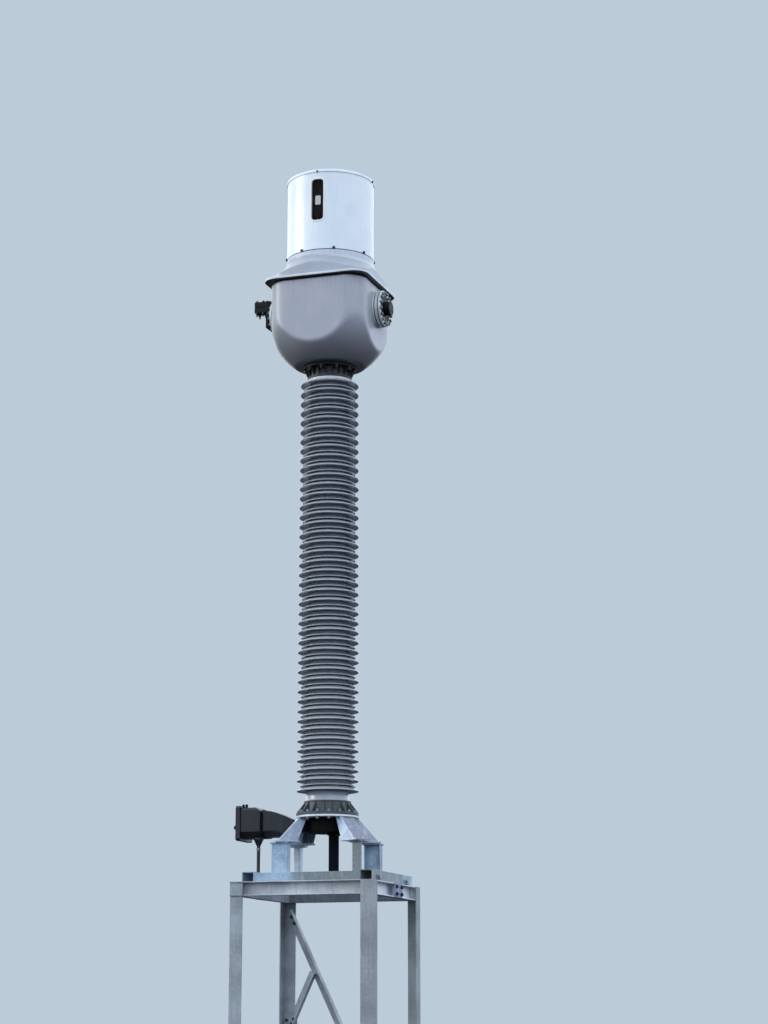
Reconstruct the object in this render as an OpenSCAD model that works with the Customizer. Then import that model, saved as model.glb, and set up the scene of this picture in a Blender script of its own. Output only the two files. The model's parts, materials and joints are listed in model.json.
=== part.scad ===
// Top-core current transformer on a galvanised steel support stand.
// Millimetres, Z up, origin on the ground at the centre of the stand.
// The oil-level window faces -Y and the primary terminals lie along X.

/* [Stand] */
// outside width of the square stand, across the columns
stand_width = 1130; // [1000:10:1300]
// height of the stand's top above the ground
stand_height = 2640; // [2200:10:3000]
// leg length of the column angles
column_leg = 100; // [90:5:120]
// thickness of the column angles
column_wall = 10; // [8:1:14]
// depth of the channel beams round the top
beam_depth = 105; // [90:5:140]
// flange width of the channel beams
beam_flange = 60; // [50:5:70]
// wall thickness of the channel beams
beam_wall = 7; // [5:1:10]
// side of the square foot plates
foot_size = 360; // [320:10:400]
// thickness of the foot plates
foot_thickness = 22; // [16:1:30]
// how far a foot plate runs out past its column's corner
foot_reach = 185; // [150:5:200]
// spacing of the anchor holes in a foot plate
foot_hole_spacing = 260; // [220:10:280]
// diameter of the anchor holes
foot_hole_diameter = 27; // [22:1:33]
// leg length of the bracing angles
brace_leg = 60; // [50:5:70]
// thickness of the bracing angles
brace_wall = 6; // [5:1:8]
// height of the long brace's upper end, below the top
brace_drop = 170; // [140:10:260]
// height of the long brace's lower end, above the ground
brace_low = 330; // [250:10:500]

/* [Adapter frame] */
// distance of the side rails' centre lines from the middle
rail_offset = 470; // [455:5:485]
// width of the side rails
rail_width = 100; // [80:5:120]
// height of the side rails
rail_height = 80; // [60:5:100]
// wall thickness of the rails and cross channels
rail_wall = 7; // [5:1:10]
// front end of the side rails, towards the front
rail_front = 450; // [430:5:490]
// back end of the side rails, towards the back
rail_back = 500; // [480:5:540]
// height of the front and back cross channels
cross_height = 70; // [50:5:80]
// distance of the stubs from the middle, sideways
stub_x = 312; // [300:2:330]
// distance of the stubs from the middle, front to back
stub_y = 174; // [160:2:200]
// width of the two wide stubs
stub_width = 130; // [110:5:140]
// width of the two narrow stubs
stub_narrow = 74; // [60:2:100]
// depth of a stub, front to back
stub_depth = 65; // [55:5:80]
// height from the rails to the top of the stub caps
stub_height = 235; // [200:5:280]
// thickness of the stub caps
stub_cap = 12; // [8:1:16]

/* [Transformer base] */
// height of the splayed legs, from the stub caps to the base plate
leg_height = 187; // [160:1:220]
// width of a splayed leg
leg_width = 130; // [100:5:140]
// wall thickness of the splayed legs
leg_wall = 10; // [8:1:12]
// radius of the round base plate
plate_radius = 240; // [230:5:260]
// thickness of the round base plate
plate_thickness = 15; // [12:1:20]
// radius of the drum under the base plate
drum_radius = 150; // [130:5:160]
// height of the drum under the base plate
drum_height = 112; // [90:2:120]
// radius of the duct that hangs from the drum
duct_radius = 39.5; // [30:0.5:45]
// length of the duct below the drum
duct_length = 288; // [200:2:295]

/* [Terminal box] */
// outer face of the terminal box lid, from the middle
box_reach = 708; // [690:1:730]
// thickness of the lid with its flange
box_lid = 38; // [30:1:45]
// height and width of the lid
box_lid_size = 267; // [255:1:280]
// height of the box body
box_height = 232; // [220:1:240]
// width of the box body, front to back
box_size = 250; // [230:1:250]
// length of the box body
box_length = 162; // [140:1:180]

/* [Insulator] */
// height of the lower metal flange
flange_height = 113; // [90:1:130]
// number of ribs round the lower flange
flange_ribs = 16; // [12:1:20]
// height of the plain glazed band under the sheds
band_height = 75; // [60:1:90]
// number of large sheds
shed_count = 43; // [30:1:46]
// distance from one large shed to the next
shed_pitch = 77; // [66:1:84]
// radius of the large sheds at the bottom
shed_radius = 241; // [225:1:255]
// how much smaller the large sheds are at the top
shed_taper = 9; // [0:1:20]
// how much smaller the small sheds are than the large ones
small_shed_step = 25; // [20:1:45]
// radius of the porcelain body at the bottom
core_radius = 165; // [150:1:170]
// radius of the porcelain body at the top
core_radius_top = 152; // [145:1:160]
// height of the plain ring above the last shed
end_ring = 37; // [25:1:50]

/* [Head] */
// height of the metal neck between the porcelain and the head
neck_height = 107; // [90:1:130]
// number of ribs under the neck's bolt ring
neck_ribs = 20; // [16:1:24]
// half the width of the square head
head_half = 402; // [395:1:415]
// corner radius of the square head
head_corner = 165; // [140:5:180]
// radius at which the bowl would be vertical
bowl_radius = 504; // [500:1:530]
// depth of the bowl's curve
bowl_depth = 450; // [430:5:480]
// radius of the bowl's flat bottom
bowl_bottom = 250; // [240:5:270]
// height of the head from the flat bottom to its top face
head_height = 635; // [600:1:650]
// height of the dark joint above the head
gasket_height = 14; // [10:1:30]
// half the width of the cover's rim
rim_half = 437; // [430:1:450]
// corner radius of the cover's rim
rim_corner = 130; // [110:5:160]
// thickness of the cover's rim
rim_height = 20; // [14:1:26]
// height of the cover's flare, rim to collar
flare_height = 174; // [150:1:190]
// height of the cover's round collar
collar_height = 43; // [30:1:60]
// radius of the bellows housing
dome_radius = 350; // [335:1:360]
// height of the bellows housing
dome_height = 652; // [600:2:700]
// height of the lid on the bellows housing
lid_height = 30; // [20:1:36]

/* [Oil-level window] */
// width of the window
window_width = 100; // [80:2:110]
// height of the window
window_height = 344; // [300:2:380]
// height of the border's lower end above the housing's bottom seam
window_rise = 236; // [200:2:250]
// width of the light border round the window
window_border = 13; // [8:1:16]
// corner radius of the window
window_corner = 30; // [15:1:40]
// how far the window is turned from the front, to the right
window_turn = 2; // [0:0.5:5]

/* [Primary terminals] */
// height of the terminals' axis above the head's flat bottom
terminal_rise = 449; // [430:1:470]
// radius of the spacer between the two terminal discs
terminal_neck = 125; // [110:1:130]
// outside radius of the two terminal discs
terminal_ring = 148; // [135:1:155]
// radius of the terminal's stem
terminal_stem = 56.5; // [50:0.5:60]
// end face of the stem, from the middle
terminal_end = 520; // [505:1:540]
// length of the line clamp on the left terminal
clamp_length = 140; // [120:5:160]
// height of the clamp's bore above the terminal's axis
clamp_rise = 110; // [102:1:125]
// radius of the line clamp's bore
clamp_bore = 24; // [18:1:28]

/* [Hidden] */
$fn = 96;
half = stand_width / 2;
inner = half - column_wall;
foot_centre = half + foot_reach - foot_size / 2;
beam_z = stand_height - beam_depth;
beam_in = inner - beam_flange;
rail_z = stand_height;
rail_top = rail_z + rail_height;
rail_in = rail_offset - rail_width / 2;
cap_top = rail_top + stub_height;
stub_r = sqrt(stub_x * stub_x + stub_y * stub_y);
stub_angle = atan2(stub_y, stub_x);
plate_z = cap_top + leg_height;
plate_top = plate_z + plate_thickness;
drum_z = plate_z - drum_height;
box_top_z = plate_z + 93;
box_low_z = box_top_z - box_height;
box_lid_z = plate_z - 27;
box_body_x = box_reach - box_lid;
box_neck_x = box_body_x - box_length;
conduit_x = max(inner - 14, rail_offset + rail_width / 2 + 13.3);
conduit_y = -62;
gland_height = 62;
flange_top = plate_top + flange_height;
shed_z = flange_top + band_height;
shed_top = shed_z + (shed_count - 1) * shed_pitch;
porcelain_top = shed_top + 15 + end_ring;
neck_top = porcelain_top + neck_height;
terminal_z = neck_top + terminal_rise;
head_top = neck_top + head_height;
rim_z = head_top + gasket_height;
flare_z = rim_z + rim_height;
collar_z = flare_z + flare_height;
dome_z = collar_z + collar_height;
dome_top = dome_z + dome_height;
window_z = dome_z + window_rise;
long_brace = [[-(half - 50), stand_height - brace_drop], [half - 50, brace_low]];
short_brace_x = 300;
short_brace_drop = 450;
joint_plate_length = 180;
gusset_height = 130;

// Four like things, one in each quarter of the plan.
module quarters() {
    children();
    mirror([1, 0, 0]) children();
    mirror([0, 1, 0]) children();
    mirror([1, 0, 0]) mirror([0, 1, 0]) children();
}

module both_x() {
    children();
    mirror([1, 0, 0]) children();
}

module both_y() {
    children();
    mirror([0, 1, 0]) children();
}

// Square with rounded corners, given by half its width.
module round_square(h, r) {
    square([2 * h, 2 * (h - r)], center = true);
    square([2 * (h - r), 2 * h], center = true);
    for (x = [-1, 1], y = [-1, 1])
        translate([x * (h - r), y * (h - r)]) circle(r);
}

// Upright slot outline, standing on y = 0.
module slot(w, h, r) {
    translate([-w / 2, r]) square([w, h - 2 * r]);
    translate([-w / 2 + r, 0]) square([w - 2 * r, h]);
    for (x = [-1, 1], y = [r, h - r])
        translate([x * (w / 2 - r), y]) circle(r, $fn = 48);
}

// Pushes an outline in X and Z out along -Y, from the axis to the given depth.
module towards_front(depth) {
    rotate([90, 0, 0]) linear_extrude(depth) children();
}

// Channel outline: web along the bottom, flanges up.
module channel(w, h, t) {
    difference() {
        translate([-w / 2, 0]) square([w, h]);
        translate([-w / 2 + t, t]) square([w - 2 * t, h]);
    }
}

// Angle outline with its heel at the upper right corner.
module angle_outline(leg, t) {
    polygon([[0, 0], [0, -leg], [-t, -leg], [-t, -t], [-leg, -t], [-leg, 0]]);
}

module foot_plates() {
    color("DarkGray") quarters()
        difference() {
            translate([foot_centre - foot_size / 2, foot_centre - foot_size / 2, 0])
                cube([foot_size, foot_size, foot_thickness]);
            for (x = [-1, 1], y = [-1, 1])
                translate([foot_centre + x * foot_hole_spacing / 2,
                    foot_centre + y * foot_hole_spacing / 2, -1])
                    cylinder(h = foot_thickness + 2, d = foot_hole_diameter, $fn = 48);
        }
}

module stand_columns() {
    color("Gray") quarters()
        translate([half, half, foot_thickness])
            linear_extrude(stand_height - foot_thickness)
                angle_outline(column_leg, column_wall);
}

// Channels that open outwards, inside the column angles.
module front_back_beams() {
    color("Gray") both_y()
        translate([inner, -beam_in, beam_z + beam_depth / 2])
            rotate([0, -90, 0]) rotate([0, 0, 180])
                linear_extrude(2 * inner) channel(beam_depth, beam_flange, beam_wall);
}

module side_beams() {
    color("Gray") both_x()
        translate([beam_in, beam_in, beam_z + beam_depth / 2])
            rotate([90, 0, 0]) rotate([0, 0, -90])
                linear_extrude(2 * beam_in) channel(beam_depth, beam_flange, beam_wall);
}

// Joint plates across the open side of the side beams.
module beam_plates() {
    color("DarkGray") both_x()
        translate([inner, -50, beam_z]) cube([8, joint_plate_length, beam_depth]);
}

// One bracing angle flat against the back, from the low to the high point.
module brace_bar(low, high, y) {
    dx = high[0] - low[0];
    dz = high[1] - low[1];
    translate([low[0], y, low[1]]) rotate([0, atan2(dx, dz), 0])
        linear_extrude(sqrt(dx * dx + dz * dz))
            translate([brace_leg / 2, 0]) angle_outline(brace_leg, brace_wall);
}

module long_brace() {
    color("Gray") brace_bar(long_brace[1], long_brace[0], inner);
}

// Height on the long brace at a place across the back.
function brace_height(x) = long_brace[0][1]
    + (x - long_brace[0][0]) * (long_brace[1][1] - long_brace[0][1])
    / (long_brace[1][0] - long_brace[0][0]);

module short_brace() {
    meet = brace_height(-short_brace_x);
    color("Gray") brace_bar([-(half - 62), meet - short_brace_drop],
        [-short_brace_x - 10, meet - 25], inner - brace_wall);
}

module brace_gusset() {
    low = brace_height(-short_brace_x) - short_brace_drop - 50;
    color("DarkGray") translate([-(half - 12), inner - brace_wall, low])
        cube([110, brace_wall, gusset_height]);
}

// Open channels laid upside down on the side beams.
module side_rails() {
    color("LightSteelBlue") both_x()
        translate([rail_offset, rail_back, rail_top])
            rotate([90, 0, 0]) mirror([0, 1, 0])
                linear_extrude(rail_front + rail_back)
                    channel(rail_width, rail_height, rail_wall);
}

module cross_channels() {
    color("LightSteelBlue") both_y()
        translate([-rail_in, -rail_front, rail_z + cross_height / 2])
            rotate([0, 90, 0]) linear_extrude(2 * rail_in)
                channel(cross_height, 60, rail_wall);
}

// Upside-down channels that carry the stubs, between the rails.
module stub_bearers() {
    color("LightSteelBlue") both_y()
        translate([-rail_in, -stub_y, rail_top])
            rotate([0, 90, 0]) rotate([0, 0, -90])
                linear_extrude(2 * rail_in)
                    channel(stub_depth + 25, rail_height, rail_wall);
}

// Wide stubs at the front left and back right, narrow ones at the other two corners.
module stubs() {
    color("LightSteelBlue") for (turn = [0, 180], side = [-1, 1])
        rotate([0, 0, turn])
            translate([side * stub_x, -stub_y - stub_depth / 2, rail_top])
                linear_extrude(stub_height - stub_cap)
                    if (side < 0) channel(stub_width, stub_depth, rail_wall);
                    else narrow_stub();
}

// Angle outline: the face outwards, the other wall on the side of the middle.
module narrow_stub() {
    translate([-stub_narrow / 2, 0]) square([stub_narrow, rail_wall]);
    translate([-stub_narrow / 2, 0]) square([rail_wall, stub_depth]);
}

module stub_caps() {
    color("LightSteelBlue") quarters()
        translate([stub_x - stub_width / 2 - 9, stub_y - stub_depth / 2 - 10,
            cap_top - stub_cap])
            cube([stub_width + 18, stub_depth + 20, stub_cap]);
}

// Folded leg: a sloped web outside and two side walls, drawn along +X.
leg_foot = 12;
leg_foot_back = 160;
leg_foot_length = leg_foot_back + 22;
leg_top_r = plate_radius - 12;
leg_low_r = stub_r + 28;

module one_leg() {
    h = leg_height - leg_foot;
    translate([0, leg_width / 2, cap_top + leg_foot]) {
        rotate([90, 0, 0]) linear_extrude(leg_width)
            polygon([[leg_low_r, 0], [leg_top_r, h], [leg_top_r - leg_wall * 1.35, h],
                [leg_low_r - leg_wall * 1.35, 0]]);
        for (y = [0, leg_width - leg_wall])
            translate([0, -y, 0]) rotate([90, 0, 0]) linear_extrude(leg_wall)
                polygon([[leg_low_r, 0], [leg_top_r, h], [leg_top_r - 60, h],
                    [leg_low_r - 150, 0]]);
    }
}

module base_legs() {
    color("Silver") quarters() rotate([0, 0, stub_angle]) one_leg();
}

module leg_feet() {
    color("Silver") quarters() rotate([0, 0, stub_angle])
        translate([leg_low_r - leg_foot_back, -leg_width / 2 - 6, cap_top])
            cube([leg_foot_length, leg_width + 12, leg_foot]);
}

module base_plate() {
    color("Silver")
        translate([0, 0, plate_z]) cylinder(h = plate_thickness, r = plate_radius);
}

module base_drum() {
    color("DimGray")
        translate([0, 0, drum_z]) cylinder(h = drum_height, r = drum_radius);
}

module centre_duct() {
    color("DimGray") translate([53, 0, drum_z - duct_length]) {
        cylinder(h = duct_length, r = duct_radius, $fn = 64);
        translate([0, 0, duct_length - 14])
            cylinder(h = 14, r = duct_radius + 14, $fn = 64);
    }
}

// Square outline with cut corners, for the terminal box lid.
module cut_square(s, c) {
    h = s / 2;
    polygon([[-h, -h + c], [-h + c, -h], [h - c, -h], [h, -h + c],
        [h, h - c], [h - c, h], [-h + c, h], [-h, h - c]]);
}

module box_lid() {
    color("DarkSlateGray")
        translate([-box_reach, 0, box_lid_z]) rotate([90, 0, 90])
            linear_extrude(box_lid) cut_square(box_lid_size, 14);
}

// Body with wider cuts below than above, sloped off where the neck starts.
module box_body() {
    h = box_size / 2;
    color("DarkSlateGray") intersection() {
        translate([-box_body_x, 0, 0]) rotate([90, 0, 90]) linear_extrude(box_length)
            polygon([[-h, box_low_z + 42], [-h + 42, box_low_z], [h - 42, box_low_z],
                [h, box_low_z + 42], [h, box_top_z - 20], [h - 20, box_top_z],
                [-h + 20, box_top_z], [-h, box_top_z - 20]]);
        translate([0, box_size, 0]) rotate([90, 0, 0]) linear_extrude(2 * box_size)
            polygon([[-box_reach, box_low_z - 5], [-box_neck_x, box_low_z - 5],
                [-box_neck_x, box_top_z - 28], [-box_neck_x - 45, box_top_z],
                [-box_neck_x - 46, box_top_z + 5], [-box_reach, box_top_z + 5]]);
    }
}

// Tapered duct from the box to the drum under the base plate.
module box_neck() {
    a = box_neck_x;
    b = a - 125;
    c = b - 62;
    top = box_top_z;
    low = box_low_z;
    color("DarkSlateGray") difference() {
        intersection() {
            translate([0, 0, low - 10]) linear_extrude(box_height + 20)
                polygon([[-a, -110], [-b, -98], [-c, -60], [-c + 46, -60], [-c + 131, -20],
                    [0, -20], [0, 20], [-c + 131, 20], [-c + 46, 60], [-c, 60],
                    [-b, 98], [-a, 110]]);
            translate([0, box_size, 0]) rotate([90, 0, 0]) linear_extrude(2 * box_size)
                polygon([[-a, low + 6], [-a, top - 25], [-a + 77, top - 32], [-b, top - 45],
                    [-c, top - 71], [-c + 66, plate_z - 8], [0, plate_z - 8],
                    [0, drum_z + 10], [-c + 66, drum_z + 10], [-c, low + 18],
                    [-b, low + 6]]);
        }
        translate([0, 0, low - 20])
            cylinder(h = box_height + 40, r = drum_radius);
    }
}

// Funnel under the box, down to the conduit.
module gland_block() {
    color("DimGray") translate([-conduit_x, conduit_y, box_low_z - gland_height])
        rotate_extrude($fn = 64) polygon([[0, 0], [17, 0], [19, 8], [36, gland_height - 18],
            [40, gland_height - 16], [40, gland_height], [0, gland_height]]);
}

module conduit() {
    color("DimGray")
        translate([-conduit_x, conduit_y, rail_z])
            cylinder(h = box_low_z - gland_height - rail_z, r = 13.5, $fn = 48);
}

// Cast foot of the insulator: ring, tapered socket and upright ribs.
module lower_flange() {
    color("DimGray") translate([0, 0, plate_top]) {
        rotate_extrude() polygon([[0, 0], [plate_radius, 0], [plate_radius, 24],
            [core_radius + 26, 26], [core_radius + 12, flange_height - 12],
            [core_radius + 16, flange_height - 10], [core_radius + 16, flange_height],
            [0, flange_height]]);
        for (i = [0 : flange_ribs - 1])
            rotate([0, 0, (i + 0.5) * 360 / flange_ribs])
                translate([0, 6, 0]) rotate([90, 0, 0]) linear_extrude(12)
                    polygon([[core_radius, 20], [plate_radius - 4, 20],
                        [plate_radius - 4, 30], [core_radius + 18, flange_height - 14],
                        [core_radius, flange_height - 14]]);
    }
}

// Radius of the porcelain body and of the large sheds along the height.
function core_at(i) = core_radius + (core_radius_top - core_radius) * i / shed_count;
function tip_at(i) = shed_radius - shed_taper * i / shed_count;

// One shed's outline, from its root below to its root above.
function shed(z, c, r) = [[c, z + 6], [r - 4, z], [r, z + 3], [r - 3, z + 7],
    [c, min(z + 8 + (r - c) * 0.45, z + shed_pitch / 2 + 4)]];

module porcelain() {
    ring = core_radius_top + 23;
    sheds = [for (i = [0 : shed_count - 2]) each concat(
        shed(shed_z + i * shed_pitch, core_at(i), tip_at(i)),
        shed(shed_z + (i + 0.5) * shed_pitch, core_at(i + 0.5),
            tip_at(i + 0.5) - small_shed_step))];
    color("SlateGray") rotate_extrude() polygon(concat(
        [[0, flange_top], [core_radius, flange_top]],
        sheds,
        [[core_radius_top, shed_top + 6]],
        shed(shed_top, ring, tip_at(shed_count)),
        [[ring, porcelain_top], [0, porcelain_top]]));
}

// Metal neck with the ribbed bolt ring under the bowl.
module upper_flange() {
    r = core_radius_top + 16;
    ring = bowl_bottom - 38;
    color("DimGray") translate([0, 0, porcelain_top]) {
        rotate_extrude() polygon([[0, 0], [r + 6, 0], [r + 6, 14], [r, 18],
            [r, neck_height - 22], [ring, neck_height - 22], [ring, neck_height],
            [0, neck_height]]);
        for (i = [0 : neck_ribs - 1])
            rotate([0, 0, (i + 0.5) * 360 / neck_ribs])
                translate([0, 4, 0]) rotate([90, 0, 0]) linear_extrude(8)
                    polygon([[r - 16, 15], [r + 5, 15], [ring - 6, neck_height - 21],
                        [r - 16, neck_height - 21]]);
    }
}

// Height of the bowl's surface at a radius, above its flat bottom.
function bowl(r) = bowl_depth * (sqrt(1 - pow(bowl_bottom / bowl_radius, 2))
    - sqrt(1 - pow(r / bowl_radius, 2)));

module head_pot() {
    steps = 22;
    curve = [for (i = [0 : steps]) let (r = bowl_bottom
        + (bowl_radius - 4 - bowl_bottom) * (1 - pow(1 - i / steps, 1.6))) [r, bowl(r)]];
    color("DarkGray") translate([0, 0, neck_top]) intersection() {
        linear_extrude(head_height) round_square(head_half, head_corner);
        rotate_extrude() polygon(concat([[0, 0]], curve,
            [[bowl_radius - 4, head_height], [0, head_height]]));
    }
}

module head_gasket() {
    color("Black") translate([0, 0, head_top])
        linear_extrude(gasket_height) round_square(head_half - 11, head_corner - 11);
}

// Rim, bell that the square cuts flat on four sides, and round collar.
module head_cover() {
    steps = 14;
    low = (rim_half - rim_corner) * sqrt(2) + rim_corner;
    high = dome_radius + 6;
    top = flare_height + collar_height + 1;
    bell = [for (i = [0 : steps])
        [high + (low - high) * pow(1 - i / steps, 1.6), 1 + flare_height * i / steps]];
    color("LightGray") {
        translate([0, 0, rim_z]) linear_extrude(rim_height)
            round_square(rim_half, rim_corner);
        translate([0, 0, flare_z - 1]) intersection() {
            linear_extrude(top) round_square(head_half + 1, head_corner);
            rotate_extrude() polygon(concat([[0, 0], [low, 0]], bell,
                [[high - 3, flare_height + 1], [high - 3, top], [0, top]]));
        }
    }
}

module bellows_housing() {
    color("White") difference() {
        translate([0, 0, dome_z]) cylinder(h = dome_height, r = dome_radius);
        rotate([0, 0, window_turn]) intersection() {
            translate([0, 0, window_z]) towards_front(dome_radius + 10)
                slot(window_width + 2 * window_border, window_height + 2 * window_border,
                    window_corner + window_border);
            translate([0, 0, window_z - 60]) difference() {
                cylinder(h = window_height + 120, r = dome_radius + 20);
                translate([0, 0, -1])
                    cylinder(h = window_height + 122, r = dome_radius - 26);
            }
        }
    }
}

module housing_lid() {
    color("White") translate([0, 0, dome_top])
        rotate_extrude() polygon([[0, 0], [dome_radius + 5, 0], [dome_radius + 5, 14],
            [dome_radius + 2, 21], [dome_radius - 8, lid_height - 4],
            [dome_radius - 26, lid_height], [0, lid_height]]);
}

// A curved layer of the window, between two radii of the housing.
module window_layer(r_in, r_out, grow) {
    rotate([0, 0, window_turn]) intersection() {
        translate([0, 0, window_z + window_border - grow]) towards_front(r_out + 10)
            slot(window_width + 2 * grow, window_height + 2 * grow, window_corner + grow);
        translate([0, 0, window_z - 60]) difference() {
            cylinder(h = window_height + 120, r = r_out);
            translate([0, 0, -1]) cylinder(h = window_height + 122, r = r_in);
        }
    }
}

module window_border_ring() {
    color("Gainsboro") difference() {
        window_layer(dome_radius - 26, dome_radius + 3, window_border);
        rotate([0, 0, window_turn]) translate([0, 0, window_z + window_border])
            towards_front(dome_radius + 30)
                slot(window_width, window_height, window_corner);
    }
}

module window_back() {
    color("Black") window_layer(dome_radius - 26, dome_radius - 20, 0);
}

module level_pointer() {
    z = window_z + window_border + window_height * 0.39;
    color("White") rotate([0, 0, window_turn]) intersection() {
        translate([0, 0, z]) towards_front(dome_radius) slot(45, 76, 10);
        translate([0, 0, z - 10]) difference() {
            cylinder(h = 100, r = dome_radius - 15);
            translate([0, 0, -1]) cylinder(h = 102, r = dome_radius - 20);
        }
    }
}

module window_glass() {
    color("LightBlue", 0.4) window_layer(dome_radius - 9, dome_radius - 4, 0);
}

// First disc on the head's flat side, with the spacer that carries the second one.
module terminal_necks() {
    color("DarkGray") both_x()
        translate([head_half, 0, terminal_z]) rotate([0, 90, 0]) {
            cylinder(h = 16, r = terminal_ring);
            cylinder(h = 24, r = terminal_neck);
        }
}

module terminal_rings() {
    color("LightGray") both_x()
        translate([head_half + 24, 0, terminal_z]) rotate([0, 90, 0]) difference() {
            cylinder(h = 20, r = terminal_ring);
            translate([0, 0, -1]) cylinder(h = 22, r = terminal_stem + 22);
        }
}

// Dark bushings with the stems; the right stem's end face has four tapped holes.
module terminal_stems() {
    x = head_half + 24;
    color("DimGray") difference() {
        both_x() translate([x, 0, terminal_z]) rotate([0, 90, 0]) {
            cylinder(h = 26, r = terminal_stem + 22);
            cylinder(h = terminal_end - x, r = terminal_stem);
        }
        for (a = [45 : 90 : 315])
            translate([terminal_end - 28, 0, terminal_z]) rotate([0, 90, 0])
                rotate([0, 0, a]) translate([38, 0, 0]) cylinder(h = 40, r = 6, $fn = 32);
    }
}

// Pad plate on the left stem's end, with a split clamp block for the line above it.
module line_clamp() {
    color("DimGray") translate([-terminal_end, 0, terminal_z]) difference() {
        union() {
            translate([-20, -45, -70]) cube([20, 90, clamp_rise + 118]);
            translate([20 - clamp_length, -42, clamp_rise - 44]) cube([clamp_length, 84, 88]);
        }
        translate([19 - clamp_length, 0, clamp_rise]) rotate([0, 90, 0])
            cylinder(h = clamp_length + 2, r = clamp_bore, $fn = 64);
        translate([19 - clamp_length, -46, clamp_rise - 2]) cube([clamp_length - 39, 92, 4]);
    }
}

foot_plates();
stand_columns();
front_back_beams();
side_beams();
beam_plates();
long_brace();
short_brace();
brace_gusset();
side_rails();
cross_channels();
stub_bearers();
stubs();
stub_caps();
base_legs();
leg_feet();
base_plate();
base_drum();
centre_duct();
box_lid();
box_body();
box_neck();
gland_block();
conduit();
lower_flange();
porcelain();
upper_flange();
head_pot();
head_gasket();
head_cover();
bellows_housing();
housing_lid();
window_border_ring();
window_back();
level_pointer();
window_glass();
terminal_necks();
terminal_rings();
terminal_stems();
line_clamp();
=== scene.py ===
import bpy
import bmesh
import json
import math
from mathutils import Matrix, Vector


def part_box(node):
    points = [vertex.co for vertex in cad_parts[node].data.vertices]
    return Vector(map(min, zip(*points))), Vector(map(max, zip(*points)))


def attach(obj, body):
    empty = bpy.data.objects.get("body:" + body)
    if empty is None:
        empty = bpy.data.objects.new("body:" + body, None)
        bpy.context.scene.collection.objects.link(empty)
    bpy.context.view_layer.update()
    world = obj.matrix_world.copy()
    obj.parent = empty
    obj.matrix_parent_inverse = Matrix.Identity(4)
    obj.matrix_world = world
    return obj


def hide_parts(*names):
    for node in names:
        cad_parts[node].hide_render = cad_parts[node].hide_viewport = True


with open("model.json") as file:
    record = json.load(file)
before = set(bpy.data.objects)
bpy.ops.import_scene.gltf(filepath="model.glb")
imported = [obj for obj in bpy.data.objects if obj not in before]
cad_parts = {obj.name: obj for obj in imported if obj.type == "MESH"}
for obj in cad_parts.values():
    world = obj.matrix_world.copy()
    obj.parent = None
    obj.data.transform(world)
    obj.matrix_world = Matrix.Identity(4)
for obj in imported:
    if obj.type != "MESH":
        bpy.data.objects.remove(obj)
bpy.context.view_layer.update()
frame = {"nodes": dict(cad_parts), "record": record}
cadNodes = frame["nodes"]
mm = 0.001
print("frame loaded")

# Camera, floor and light

cameraLook = {
    "place": (6.031, -16.530, 1.600),   # eye height 1.6 m above the ground
    "turnDegrees": 18.63,               # to the left of straight ahead
    "tiltDegrees": 12.67,               # upwards
    "sensorMm": 36.0,
    "lensMm": 80.12,
    "farClip": 200.0,
}
studioLook = {
    "floorSize": 90.0,
    "floorColour": "#bfbfbd",
    "floorBounce": "#3c3d3f",           # what the floor gives back to the part
    "backdrop": "#bccbd8",
    "skyColour": "#dbe8f7",
    "horizonStrength": 1.75,            # a bright band above the horizon fills the recesses
    "zenithStrength": 1.35,
    "groundStrength": 0.07,
    "horizonBand": (-0.04, 0.03),       # where the ground's light gives way to the sky's
    "zenithBand": (0.30, 0.70),
}
lamps = {
    "keyLeft": {"place": (-12.0, -4.5, 10.0), "aim": (0.0, 0.0, 5.5), "size": 6.0,
                "watts": 620.0, "colour": "#fffaf2"},
    "fillRight": {"place": (10.0, -9.0, 9.0), "aim": (0.0, 0.0, 5.0), "size": 6.0,
                  "watts": 110.0, "colour": "#cbdfff"},
}


def linear(code):
    # sRGB hex to the linear colour that a shader socket takes
    parts = [int(code[i:i + 2], 16) / 255 for i in (1, 3, 5)]
    return (*(c / 12.92 if c <= 0.04045 else ((c + 0.055) / 1.055) ** 2.4 for c in parts), 1.0)


def socketOf(sockets, key):
    # a socket by number, by identifier or by name
    if isinstance(key, int):
        return sockets[key]
    return next((s for s in sockets if s.identifier == key), None) or sockets[key]


def out(source, key=0):
    # an output of a node; a socket stands for itself
    return socketOf(source.outputs, key) if isinstance(source, bpy.types.Node) else source


def addNode(tree, kind, values=None):
    # one node; a value is a setting, a socket's own value, or the node or socket that feeds it
    node = tree.nodes.new(kind)
    for key, value in (values or {}).items():
        if isinstance(key, str) and hasattr(node, key):
            setattr(node, key, value)
        elif isinstance(value, (bpy.types.Node, bpy.types.NodeSocket)):
            tree.links.new(out(value), socketOf(node.inputs, key))
        else:
            socketOf(node.inputs, key).default_value = value
    return node


def seenApart(tree, given, seen, outputKind):
    # one shader for the light that reaches the part, another for what the camera sees
    ray = addNode(tree, "ShaderNodeLightPath")
    mix = addNode(tree, "ShaderNodeMixShader", {0: out(ray, "Is Camera Ray"), 1: given, 2: seen})
    addNode(tree, outputKind, {"Surface": mix})


def link(obj):
    bpy.context.scene.collection.objects.link(obj)
    return obj


def meshOf(name, points, faces, edges=()):
    mesh = bpy.data.meshes.new(name)
    mesh.from_pydata(points, edges, faces)
    return mesh


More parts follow.
